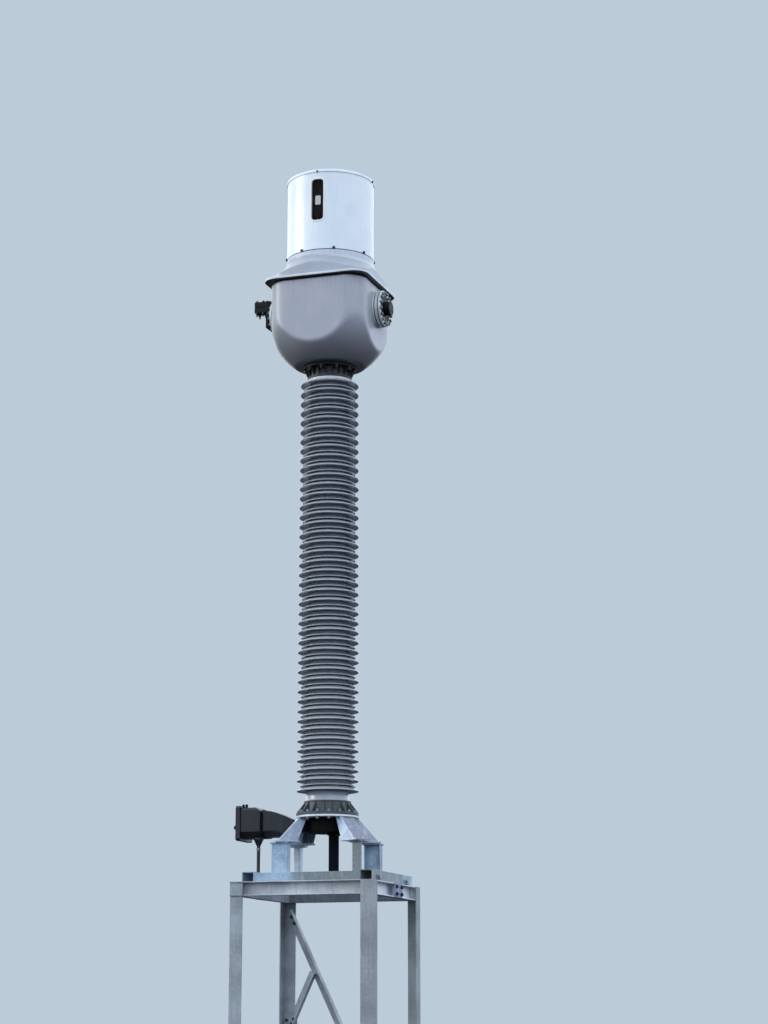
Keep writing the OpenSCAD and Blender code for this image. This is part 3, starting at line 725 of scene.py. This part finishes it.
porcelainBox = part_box("porcelain")
bandFoot, collarTop = porcelainBox[0].z, porcelainBox[1].z
firstShed = 75                 # mm above the foot
ringSteps = 96                 # corners of the plain bands and rings
shedLook = {
    "Sheds": 43,
    "Pitch": 77 * mm,
    "First Shed": bandFoot + firstShed * mm,
    "Tip": 241 * mm,
    "Taper": 9 * mm,
    "Small Step": 25 * mm,
    "Core Bottom": 165 * mm,
    "Core Top": 152 * mm,
    "Around": 72,
}
# outline of a shed, as shares of its overhang: out, up
shedOutline = [(0.0, 0.12), (0.3, 0.055), (0.65, 0.02), (0.93, 0.0), (0.985, 0.012),
               (1.0, 0.045), (0.985, 0.08), (0.93, 0.115), (0.62, 0.26), (0.32, 0.40),
               (0.1, 0.50), (0.0, 0.55)]
# outlines of the plain bands in mm: radius, and height from the foot or from the top
footOutline = [(168, 0), (168, 12), (165.5, 20), (165.5, firstShed + 9), (164.5, firstShed + 10)]
headOutline = [(150, -30), (173.5, -30), (175, -28.5), (175, -2), (173.5, 0)]


def startTree(name, values):
    # a node tree that takes a geometry, the given inputs and a finish; and its input sockets
    tree = bpy.data.node_groups.new(name, "GeometryNodeTree")
    kinds = {label: "Int" if isinstance(value, int) else "Float" for label, value in values.items()}
    for label, kind in {"Geometry": "Geometry", **kinds, "Finish": "Material"}.items():
        tree.interface.new_socket(label, in_out="INPUT", socket_type="NodeSocket" + kind)
    tree.interface.new_socket("Geometry", in_out="OUTPUT", socket_type="NodeSocketGeometry")
    return tree, {socket.name: socket for socket in addNode(tree, "NodeGroupInput").outputs}


def closeTree(tree, geometry, finish):
    # real meshes in one finish
    real = addNode(tree, "GeometryNodeRealizeInstances", {0: geometry})
    painted = addNode(tree, "GeometryNodeSetMaterial", {"Geometry": real, "Material": finish})
    addNode(tree, "NodeGroupOutput", {0: painted})


def grow(obj, tree, values):
    # runs a node tree on an object with its inputs set, and keeps the plain mesh
    modifier = obj.modifiers.new(tree.name, "NODES")
    modifier.node_group = tree
    ids = {s.name: s.identifier for s in tree.interface.items_tree if s.in_out == "INPUT"}
    for name, value in values.items():
        modifier[ids[name]] = value
    obj.update_tag()
    bpy.context.view_layer.update()
    return settle(obj)


tree, given = startTree("shedColumn", shedLook)
shedCount = addNode(tree, "ShaderNodeMath", {
    "operation": "MULTIPLY_ADD", 0: given["Sheds"], 1: 2.0, 2: -1.0})
shedStep = addNode(tree, "ShaderNodeMath", {"operation": "MULTIPLY", 0: given["Pitch"], 1: 0.5})
shedLine = addNode(tree, "GeometryNodeMeshLine", {
    "mode": "OFFSET", "Count": shedCount,
    "Start Location": addNode(tree, "ShaderNodeCombineXYZ", {"Z": given["First Shed"]}),
    "Offset": addNode(tree, "ShaderNodeCombineXYZ", {"Z": shedStep})})
shedIndex = addNode(tree, "GeometryNodeInputIndex")
shedShare = addNode(tree, "ShaderNodeMath", {"operation": "DIVIDE", 0: shedIndex, 1: shedCount})
shedCore = addNode(tree, "ShaderNodeMapRange", {
    "Value": shedShare, "To Min": given["Core Bottom"], "To Max": given["Core Top"]})
# how far a shed hangs out: every second one is smaller, and all taper a little upwards
shedOdd = addNode(tree, "ShaderNodeMath", {"operation": "MODULO", 0: shedIndex, 1: 2.0})
shedHang = given["Tip"]
for share, less in ((shedOdd, given["Small Step"]), (shedShare, given["Taper"]), (1.0, shedCore)):
    loss = addNode(tree, "ShaderNodeMath", {"operation": "MULTIPLY", 0: share, 1: less})
    shedHang = addNode(tree, "ShaderNodeMath", {"operation": "SUBTRACT", 0: shedHang, 1: loss})
shedRoots = addNode(tree, "GeometryNodeSetPosition", {
    "Geometry": shedLine, "Offset": addNode(tree, "ShaderNodeCombineXYZ", {"X": shedCore})})
shedCopies = addNode(tree, "GeometryNodeInstanceOnPoints", {
    "Points": shedRoots, "Instance": given["Geometry"],
    "Scale": addNode(tree, "ShaderNodeCombineXYZ", {"X": shedHang, "Y": 1.0, "Z": shedHang})})
shedSolid = addNode(tree, "GeometryNodeRealizeInstances", {0: shedCopies})
shedPoints = addNode(tree, "GeometryNodeMeshToPoints", {"Mesh": shedSolid})
# the outline is laid flat round a thin circle, whose radius comes off its reach again
pathRadius = 0.1
shedSpot = addNode(tree, "ShaderNodeSeparateXYZ", {
    0: addNode(tree, "GeometryNodeInputPosition")})
flatX = addNode(tree, "ShaderNodeMath", {
    "operation": "SUBTRACT", 0: out(shedSpot, "X"), 1: pathRadius})
flatY = addNode(tree, "ShaderNodeMath", {
    "operation": "MULTIPLY", 0: out(shedSpot, "Z"), 1: -1.0})
shedDrawn = addNode(tree, "GeometryNodeSetPosition", {
    "Geometry": shedPoints,
    "Position": addNode(tree, "ShaderNodeCombineXYZ", {"X": flatX, "Y": flatY})})
shedChain = addNode(tree, "GeometryNodePointsToCurves", {
    "Points": shedDrawn, "Weight": addNode(tree, "GeometryNodeInputIndex")})
shedPath = addNode(tree, "GeometryNodeCurvePrimitiveCircle", {
    "Radius": pathRadius, "Resolution": given["Around"]})
shedTurned = addNode(tree, "GeometryNodeCurveToMesh", {
    "Curve": shedPath, "Profile Curve": shedChain})
closeTree(tree, shedTurned, given["Finish"])

shedMesh = meshOf("porcelain_sheds", [(x, 0.0, z) for x, z in shedOutline], [],
                  [(i, i + 1) for i in range(len(shedOutline) - 1)])
sheds = newPiece("porcelain_sheds", shedMesh, "porcelain_glaze")
grow(sheds, tree, {**shedLook, "Finish": finishes["porcelain_glaze"]})


def closeColumn(work):
    bmesh.ops.remove_doubles(work, verts=work.verts, dist=0.01 * mm)
    fillHoles(work)
    facedOut(work)


reworked(sheds.data, closeColumn)
smoothFaces(sheds.data)
markSharp(sheds, 50)
hand(sheds, "porcelain_glaze", "porcelain")
for name, outline, level, finishName in (
        ("porcelain_foot", footOutline, bandFoot, "porcelain_glaze"),
        ("porcelain_head", headOutline, collarTop, "ring_cement")):
    skin(name, [circleRing(radius * mm, level + rise * mm, ringSteps) for radius, rise in outline],
         finishName, 50, "porcelain_glaze")
print("porcelain ready")

# CAD nodes whose shape is right: most with rounded edges, a few as they are

plainEdge = 2.0                # mm
edgeWidths = {
    "stand_columns": 2.5, "beam_plates": 1.2, "long_brace": 1.5, "short_brace": 1.5,
    "brace_gusset": 1.0, "stubs": 2.5, "base_legs": 2.5, "base_drum": 3.0, "box_lid": 3.0,
    "box_body": 5.0, "box_neck": 4.0, "gland_block": 4.0, "bellows_housing": 1.5,
    "housing_lid": 1.0, "window_border_ring": 1.0, "level_pointer": 0.8, "terminal_necks": 3.0,
    "terminal_stems": 1.5, "line_clamp": 3.0,
}
skinned = ("head_pot", "head_cover", "porcelain")
leftAsMade = ("conduit", "window_back", "window_glass")
paintedApart = {"front_back_beams": "beam_steel", "side_beams": "beam_steel",
                "upper_flange": "neck_paint", "terminal_necks": "ring_metal",
                "base_plate": "plate_steel", "beam_plates": "joint_steel"}
# lower edges of the box's neck, cut back in line with its taper: a point and the way out
neckCuts = [((-508 * mm, side * 110 * mm, 3051 * mm), (0.0955, side * 0.9954, -1.0))
            for side in (-1, 1)]
for row in frame["record"]["subparts"]:
    nodeName, slotName = row["node"], row["material_slot"]
    if nodeName in leftAsMade:
        shown = cadNodes[nodeName].data.materials
        shown.clear()
        shown.append(finishes[slotName])
    elif nodeName not in skinned:
        softened(nodeName, slotName, edgeWidths.get(nodeName, plainEdge) * mm,
                 paintedApart.get(nodeName, slotName), neckCuts if nodeName == "box_neck" else ())
print("rounded copies ready")

# Turned and folded details that the photograph shows as a few pixels each

up, down = (0.0, 0.0, 1.0), (0.0, 0.0, -1.0)
front, back = (0.0, -1.0, 0.0), (0.0, 1.0, 0.0)


def inMm(*values):
    return [value * mm for value in values]


def tidied(piece):
    # normals outward and crisp edges
    reworked(piece.data, facedOut)
    markSharp(piece, 40)
    return piece


def turned(name, outline, places, finishName, slotName, hollow=False, count=40):
    # like parts turned from one outline of radius and height; a place is a point and an axis
    points, faces = [], []
    levels = len(outline)
    for place, axis in places:
        turn = Vector(axis).to_track_quat("Z", "X")
        first = len(points)
        points += [Vector(place) + turn @ Vector(p) for radius, height in outline
                   for p in circleRing(radius, height, count)]
        for level in range(levels if hollow else levels - 1):
            below, above = first + level * count, first + (level + 1) % levels * count
            faces += [(below + i, below + j, above + j, above + i) for i, j in pairs(count)]
        if not hollow:
            faces.append(tuple(first + i for i in reversed(range(count))))
            faces.append(tuple(first + (levels - 1) * count + i for i in range(count)))
    return hand(tidied(newPiece(name, meshOf(name, points, faces), finishName)), slotName)


def rings(name, size, places, finishName, slotName, chamfer=0.5 * mm, count=ringSteps):
    # flat rings with broken edges; the size is two radii and a thickness in mm
    inner, outer, height = inMm(*size)
    outline = [(inner, 0.0), (outer - chamfer, 0.0), (outer, chamfer), (outer, height - chamfer),
               (outer - chamfer, height), (inner, height)]
    turned(name, outline, places, finishName, slotName, True, count)


def knobs(name, look, places, finishName):
    # turned knobs; the outline is given as shares of their radius and reach
    radius, reach = inMm(*look["size"])
    outline = [(radius * look["outline"][0][0], -1 * mm)]
    outline += [(radius * wide, reach * high) for wide, high in look["outline"]]
    turned(name, outline, places, finishName, "box_paint")


def folded(name, outlines, finishName, slotName, edge):
    # prisms with rounded edges; each is a flat outline of points and the way it is thickened
    points, faces = [], []
    for corners, thick in outlines:
        first, count = len(points), len(corners)
        points += [Vector(c) for c in corners] + [Vector(c) + Vector(thick) for c in corners]
        faces.append(tuple(first + i for i in range(count)))
        faces.append(tuple(first + count + i for i in reversed(range(count))))
        faces += [(first + i, first + count + i, first + count + j, first + j)
                  for i, j in pairs(count)]
    piece = tidied(newPiece(name, meshOf(name, points, faces), finishName))
    hand(bevelled(piece, edge, 30), slotName)


def block(start, end):
    # the outline and thickness of a block between two opposite corners
    (a, b, c), (d, e, f) = start, end
    return [(a, b, c), (d, b, c), (d, e, c), (a, e, c)], (0.0, 0.0, f - c)


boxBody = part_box("box_body")
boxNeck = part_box("box_neck")
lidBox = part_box("box_lid")
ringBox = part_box("terminal_rings")
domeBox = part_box("bellows_housing")
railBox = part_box("side_rails")
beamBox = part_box("side_beams")
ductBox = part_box("centre_duct")
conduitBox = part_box("conduit")
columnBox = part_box("stand_columns")
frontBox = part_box("front_back_beams")
stemZ = (ringBox[0].z + ringBox[1].z) / 2

detailLook = {   # millimetres; a ring is two radii and a thickness
    "outerDisc": (58, 146, 16),
    "facePlate": (57, 108, 2),          # dark plate round the stem
    "discGasket": (76, 142, 7.6),
    "gasketFeet": (-27.8, 0.1),         # from the discs' outer face
    "seamGasket": (345, 353.5, 6),      # between the cover's collar and the housing
    "neckGasket": (160, 176.5, 5),      # seal between the cement and the neck
    "lidKnob": {"size": (16, 18), "across": 105, "height": 3083, "outline": (
        (0.62, 0.35), (1.0, 0.45), (1.0, 0.85), (0.85, 1.0), (0.3, 1.02))},
    "topKnob": {"size": (11, 25), "along": (-655, -629), "across": -98, "outline": (
        (0.8, 0.3), (1.0, 0.4), (1.0, 0.75), (0.7, 0.97), (0.2, 1.0))},
    "neckFrame": (5, 19, 24),           # how far it stands proud, thickness, cut corner
    "beamLap": (100, 4, 12, 7),         # length, thickness, lip reach, lip thickness
    "clip": (52, 6, 46),                # length, thickness, height
    "clipSpots": (-330, 330),
    "saddle": (0.5, 3, 20),             # grip on the conduit, wall, height
    "saddleFeet": (2684, 2905),
    "saddleEars": (34, 2685, 2703),     # half width, foot, top
}

rings("housing_seam_gasket", detailLook["seamGasket"], [((0.0, 0.0, domeBox[0].z - 2 * mm), up)],
      "gasket_rubber", "gasket_rubber", count=coverLook["steps"])
neckSeal = detailLook["neckGasket"]
rings("neck_gasket", neckSeal, [((0.0, 0.0, collarTop - neckSeal[2] * mm), up)],
      "gasket_rubber", "gasket_rubber")


def onStems(*feet):
    # places on the terminals' axis, on both sides
    return [((side * foot, 0.0, stemZ), (side, 0.0, 0.0)) for side in (-1, 1) for foot in feet]


gasketFeet = [ringBox[1].x + foot * mm for foot in detailLook["gasketFeet"]]
discFoot = gasketFeet[1] + detailLook["discGasket"][2] * mm
discFace = discFoot + detailLook["outerDisc"][2] * mm
rings("terminal_disc_gaskets", detailLook["discGasket"], onStems(*gasketFeet),
      "gasket_rubber", "gasket_rubber")
rings("terminal_outer_discs", detailLook["outerDisc"], onStems(discFoot),
      "ring_metal", "ring_metal", 1.5 * mm)
rings("terminal_face_plates", detailLook["facePlate"], onStems(discFace),
      "terminal_dark", "terminal_dark")

knob = detailLook["lidKnob"]
across, height = inMm(knob["across"], knob["height"])
knobs("lid_knobs", knob, [((lidBox[0].x, side * across, height), (-1.0, 0.0, 0.0))
                          for side in (-1, 1)], "box_paint")
knob = detailLook["topKnob"]
knobs("box_top_knobs", knob, [((x, knob["across"] * mm, boxBody[1].z), up)
                              for x in inMm(*knob["along"])], "drum_paint")

# frame where the box meets its neck, in the black tank paint as painted shade for the shadowed gap
proud, frameThick, cut = inMm(*detailLook["neckFrame"])
wide = boxNeck[1].y + proud
low, high = boxBody[0].z + 2 * mm, boxBody[1].z - 20 * mm
frameOutline = [(-wide + cut, low), (wide - cut, low), (wide, low + cut), (wide, high - cut),
                (wide - cut, high), (-wide + cut, high), (-wide, high - cut), (-wide, low + cut)]
folded("neck_frame", [([(boxBody[1].x + 0.5 * mm, y, z) for y, z in frameOutline],
                       (frameThick, 0.0, 0.0))], "drum_paint", "box_paint", 2 * mm)

# the front beam's end plate, which laps over the left column
lapLong, lapThick, lipReach, lipThick = inMm(*detailLook["beamLap"])
lapLeft, lapFace = columnBox[0].x, columnBox[0].y - 0.3 * mm
lapLow, lapHigh = frontBox[0].z, frontBox[1].z
folded("beam_end_plate", [block((lapLeft, lapFace, low), (lapLeft + lapLong, lapFace - reach, high))
                          for low, high, reach in (
                              (lapLow, lapHigh, lapThick), (lapLow, lapLow + lipThick, lipReach),
                              (lapHigh - lipThick, lapHigh, lipReach))],
       "stand_steel", "stand_steel", 0.8 * mm)

# angle clips that hold the rails on the side beams
clipLong, clipThick, clipHigh = inMm(*detailLook["clip"])
clipBase = beamBox[1].z + 0.3 * mm
clipBlocks = []
for side in (-1, 1):
    foot, tip = side * (railBox[1].x + 0.3 * mm), side * (beamBox[1].x - 2 * mm)
    for y in inMm(*detailLook["clipSpots"]):
        start = (foot, y - clipLong / 2, clipBase)
        end = y + clipLong / 2
        clipBlocks += [block(start, (tip, end, clipBase + clipThick)),
                       block(start, (foot + side * clipThick, end, clipBase + clipHigh))]
folded("rail_clips", clipBlocks, "adapter_steel", "adapter_steel", 1 * mm)

# saddle that holds the conduit to the rail
conduitX = (conduitBox[0].x + conduitBox[1].x) / 2
conduitY = (conduitBox[0].y + conduitBox[1].y) / 2
conduitRadius = (conduitBox[1].x - conduitBox[0].x) / 2 / mm
grip, wall, saddleHigh = detailLook["saddle"]
rings("conduit_saddle", (conduitRadius - grip, conduitRadius + wall, saddleHigh),
      [((conduitX, conduitY, z), up) for z in inMm(*detailLook["saddleFeet"])],
      "fastener", "dark_casting", 1 * mm, 40)
earWide, earLow, earHigh = inMm(*detailLook["saddleEars"])
folded("saddle_ears", [block((-railBox[1].x - 3.2 * mm, conduitY - earWide, earLow),
                             (-railBox[1].x - 0.2 * mm, conduitY + earWide, earHigh))],
       "fastener", "dark_casting", 0.6 * mm)
print("details ready")

# Welds: a node tree runs an uneven bead along every drawn line

weldLook = {"Ripple Spacing": 7 * mm, "Bead Radius": 5 * mm, "Ripple": 0.18, "Seed": 11}
weldTree, given = startTree("weldBead", weldLook)
weldSteps = addNode(weldTree, "GeometryNodeResampleCurve", {
    "mode": "LENGTH", "Curve": addNode(weldTree, "GeometryNodeMeshToCurve", {0: given["Geometry"]}),
    "Length": given["Ripple Spacing"]})
thinnest, thickest = (addNode(weldTree, "ShaderNodeMath", {
    "operation": operation, 0: 1.0, 1: given["Ripple"]}) for operation in ("SUBTRACT", "ADD"))
weldChance = addNode(weldTree, "FunctionNodeRandomValue", {
    "data_type": "FLOAT", "Min_001": thinnest, "Max_001": thickest, "Seed": given["Seed"]})
weldRadius = addNode(weldTree, "ShaderNodeMath", {
    "operation": "MULTIPLY", 0: out(weldChance, "Value_001"), 1: given["Bead Radius"]})
weldProfile = addNode(weldTree, "GeometryNodeCurvePrimitiveCircle", {
    "Resolution": 6, "Radius": 1.0})
weldTube = addNode(weldTree, "GeometryNodeCurveToMesh", {
    "Fill Caps": True, "Curve": weldSteps, "Profile Curve": weldProfile, "Scale": weldRadius})
closeTree(weldTree, weldTube, given["Finish"])


def weldRun(name, lines, radius, finishName, seed):
    # beads along straight lines, each given by its two ends, in each quarter of the plan
    ends = [Vector((sx * x, sy * y, z)) for line in lines
            for sx in (-1, 1) for sy in (-1, 1) for x, y, z in line]
    edges = [(i, i + 1) for i in range(0, len(ends), 2)]
    run = link(bpy.data.objects.new(name, meshOf(name, ends, [], edges)))
    grow(run, weldTree, {**weldLook, "Bead Radius": radius, "Seed": seed,
                         "Finish": finishes[finishName]})
    smoothFaces(run.data)
    hand(run, finishName)


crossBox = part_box("cross_channels")
heel, padTop = columnBox[1].x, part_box("foot_plates")[1].z
toe = heel - 100 * mm
footLines = []
for corner in (heel, heel - 10 * mm):
    knee = (corner, corner, padTop)
    footLines += [[(toe, corner, padTop), knee], [knee, (corner, toe, padTop)]]
weldRun("stand_welds", footLines, 5 * mm, "stand_steel", 11)
crossX, crossY, crossTop = crossBox[1]
stubLeft, stubRight, stubBack = inMm(252, 372, 206.5)
weldRun("adapter_welds", [
    [(crossX, crossY, crossBox[0].z + 3 * mm), (crossX, crossY, crossTop)],
    [(crossX, crossY, crossTop), (crossX, crossY - 58 * mm, crossTop)],
    *([(stubLeft, stubBack, z), (stubRight, stubBack, z)]
      for z in (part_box("stubs")[0].z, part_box("stub_caps")[0].z))], 3.5 * mm, "adapter_steel", 12)

# Bolts: one node tree puts a washer, a hexagon and a thread end on every marked spot

boltParts = ("Across Flats", "Head Height", "Washer Radius", "Washer Height", "Thread Radius",
             "Thread Length")
boltSizes = {   # millimetres, in the order of the parts above
    "m20": (30, 15, 18.5, 3, 10, 12),
    "m16": (24, 12, 15, 3, 8, 5),
    "m14 clamp": (22, 11, 14, 2.5, 7, 20),
    "m12": (19, 9, 12, 2.5, 6, 3),
    "m8": (13, 6, 8, 1.6, 4, 1.5),
}
hexShape = {    # shares of a head's width across flats and of its height
    "corner": 0.57735,
    "body": 0.82,
    "cap": 0.18,
    "capTop": 0.84,     # the cap's upper radius, as a share of its lower one
}
boltTree, given = startTree("boltSet", {**dict.fromkeys(boltParts, 0.0), "Seed": 1})
washerHeight, threadLength = given["Washer Height"], given["Thread Length"]
hexRadius, bodyHeight, capHeight = (addNode(boltTree, "ShaderNodeMath", {
    "operation": "MULTIPLY", 0: given[part], 1: hexShape[share]}) for part, share in (
        ("Across Flats", "corner"), ("Head Height", "body"), ("Head Height", "cap")))
capRadius = addNode(boltTree, "ShaderNodeMath", {
    "operation": "MULTIPLY", 0: hexRadius, 1: hexShape["capTop"]})
capFoot = addNode(boltTree, "ShaderNodeMath", {"operation": "ADD", 0: bodyHeight, 1: washerHeight})
oneBolt = addNode(boltTree, "GeometryNodeJoinGeometry")
# a cylinder is made round its middle, the cap on its foot
for kind, corners, sizes, height, foot in (
        ("Cylinder", 6, {"Radius": hexRadius, "Depth": bodyHeight}, bodyHeight, washerHeight),
        ("Cone", 6, {"Radius Top": capRadius, "Radius Bottom": hexRadius, "Depth": capHeight},
         0.0, capFoot),
        ("Cylinder", 20, {"Radius": given["Washer Radius"], "Depth": washerHeight},
         washerHeight, 0.0),
        ("Cylinder", 12, {"Radius": given["Thread Radius"], "Depth": threadLength},
         threadLength, capFoot)):
    shape = addNode(boltTree, "GeometryNodeMesh" + kind, {"Vertices": corners, **sizes})
    rise = addNode(boltTree, "ShaderNodeMath", {
        "operation": "MULTIPLY_ADD", 0: height, 1: 0.5, 2: foot})
    placed = addNode(boltTree, "GeometryNodeTransform", {
        "Geometry": shape, "Translation": addNode(boltTree, "ShaderNodeCombineXYZ", {"Z": rise})})
    boltTree.links.new(out(placed), oneBolt.inputs[0])
boltFacing = addNode(boltTree, "GeometryNodeInputNamedAttribute", {
    "data_type": "FLOAT_VECTOR", "Name": "facing"})
boltAim = addNode(boltTree, "FunctionNodeAlignRotationToVector", {
    "axis": "Z", "Vector": out(boltFacing, "Attribute")})
boltSpin = addNode(boltTree, "FunctionNodeRandomValue", {
    "data_type": "FLOAT", "Min_001": 0.0, "Max_001": math.tau, "Seed": given["Seed"]})
boltTwist = addNode(boltTree, "FunctionNodeAxisAngleToRotation", {
    "Axis": up, "Angle": out(boltSpin, "Value_001")})
boltTurn = addNode(boltTree, "FunctionNodeRotateRotation", {
    "rotation_space": "LOCAL", "Rotation": boltAim, "Rotate By": boltTwist})
closeTree(boltTree, addNode(boltTree, "GeometryNodeInstanceOnPoints", {
    "Points": given["Geometry"], "Instance": oneBolt, "Rotation": boltTurn}), given["Finish"])


def circleSpots(count, radiusMm, z, facing, start=0.0):
    # spots round the upright axis; facing None points each one outwards
    away = [(math.cos(a), math.sin(a)) for a in angles(count, start)]
    return [((radiusMm * mm * x, radiusMm * mm * y, z), facing or (x, y, 0.0)) for x, y in away]


def sideSpots(reach, ys, zs, facing=None):
    # the same spots on both sides; facing None points them outwards
    return [((side * reach, y, z), facing or (side, 0.0, 0.0))
            for side in (-1, 1) for y in ys for z in zs]


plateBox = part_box("base_plate")
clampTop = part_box("line_clamp")[1].z
ringBolts = 127 * mm
terminalSpots = [((side * discFace, ringBolts * math.cos(a), stemZ + ringBolts * math.sin(a)),
                  (side, 0.0, 0.0)) for side in (-1, 1) for a in angles(16, math.tau / 32)]
clampSpots = [(x, y) for x in inMm(-622, -568) for y in inMm(-31, 31)]
lidMiddle = (lidBox[0].z + lidBox[1].z) / 2
lidSpots = [((lidBox[0].x, y, lidMiddle + z), (-1.0, 0.0, 0.0))
            for y in inMm(-88, 88) for z in inMm(-112, 112)]
ductX, ductZ, ductRadius = ductBox[1].x - 53.5 * mm, ductBox[1].z - 14 * mm, 46 * mm
ductSpots = [((ductX + ductRadius * math.cos(a), ductRadius * math.sin(a), ductZ), down)
             for a in (0.785, 2.356, 3.927, 5.498)]
clipSpots = inMm(*detailLook["clipSpots"])
clipBolts = sideSpots(537 * mm, clipSpots, [beamBox[1].z + 6.3 * mm], up)
clipBolts += sideSpots(railBox[1].x + 6.3 * mm, clipSpots, [beamBox[1].z + 32 * mm])

# foot bolts of the folded legs: two on each foot, side by side across the leg
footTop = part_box("leg_feet")[1].z
stubX, stubY, boltBack = inMm(312, 174, 90)
along, turn = math.hypot(stubX, stubY) - boltBack, math.atan2(stubY, stubX)
footSpots = []
for across in inMm(-32, 32):
    x = along * math.cos(turn) - across * math.sin(turn)
    y = along * math.sin(turn) + across * math.cos(turn)
    footSpots += [((sx * x, sy * y, footTop), up) for sx in (-1, 1) for sy in (-1, 1)]

braceSpots = [(-495.5, 2429.5), (-471.6, 2379.9), (495.5, 370.5), (471.6, 420.1)]
gussetSpots = [(-531, 549, 1546), (-531, 549, 1632), (-490, 543, 1603), (-473, 543, 1640)]

# name, size, spots, finish and slot; a run's place in the list is the seed of its turns
boltRuns = [
    ("head_ring_bolts", "m20", circleSpots(10, 193, neckTop - 22 * mm, down, -math.tau / 4),
     "dark_fastener", "dark_casting"),
    ("foot_ring_bolts", "m16", circleSpots(16, 219, plateBox[1].z + 24.5 * mm, up),
     "fastener", "dark_casting"),
    ("foot_ring_nuts", "m16", circleSpots(16, 219, plateBox[0].z, down), "fastener", "leg_steel"),
    ("housing_seam_bolts", "m12",
     circleSpots(8, 350, domeBox[0].z + 12 * mm, None, math.tau / 16 + 0.03),
     "dark_fastener", "housing_paint"),
    ("lid_rim_bolts", "m8", circleSpots(4, 355, domeBox[1].z + 7 * mm, None, math.radians(2)),
     "dark_fastener", "housing_paint"),
    ("terminal_ring_bolts", "m16", terminalSpots, "fastener", "ring_metal"),
    ("clamp_nuts", "m14 clamp", [((x, y, clampTop - 92 * mm), down) for x, y in clampSpots],
     "dark_fastener", "terminal_dark"),
    ("clamp_heads", "m12", [((x, y, clampTop - 4 * mm), up) for x, y in clampSpots],
     "dark_fastener", "terminal_dark"),
    ("box_lid_bolts", "m8", lidSpots, "dark_fastener", "box_paint"),
    ("duct_flange_bolts", "m8", ductSpots, "dark_fastener", "drum_paint"),
    ("beam_plate_bolts", "m16", sideSpots(563 * mm, inMm(-18, 98), inMm(2560, 2615)),
     "dark_fastener", "stand_steel"),
    ("rail_clip_bolts", "m12", clipBolts, "fastener", "adapter_steel"),
    ("leg_foot_bolts", "m16", footSpots, "fastener", "leg_steel"),
    ("brace_bolts", "m16", [(inMm(x, 565, z), back) for x, z in braceSpots],
     "dark_fastener", "stand_steel"),
    ("brace_nuts", "m16", [(inMm(x, 549, z), front) for x, z in braceSpots],
     "dark_fastener", "stand_steel"),
    ("gusset_bolts", "m12", [(inMm(*spot), front) for spot in gussetSpots],
     "dark_fastener", "stand_steel"),
]
for seed, (name, size, spots, finishName, slotName) in enumerate(boltRuns, 1):
    run = link(bpy.data.objects.new(name, meshOf(name, [place for place, facing in spots], [])))
    layer = run.data.attributes.new("facing", "FLOAT_VECTOR", "POINT")
    for i, (place, facing) in enumerate(spots):
        layer.data[i].vector = facing
    grow(run, boltTree, {**dict(zip(boltParts, inMm(*boltSizes[size]))), "Seed": seed,
                         "Finish": finishes[finishName]})
    hand(run, slotName)
print("bolts ready")
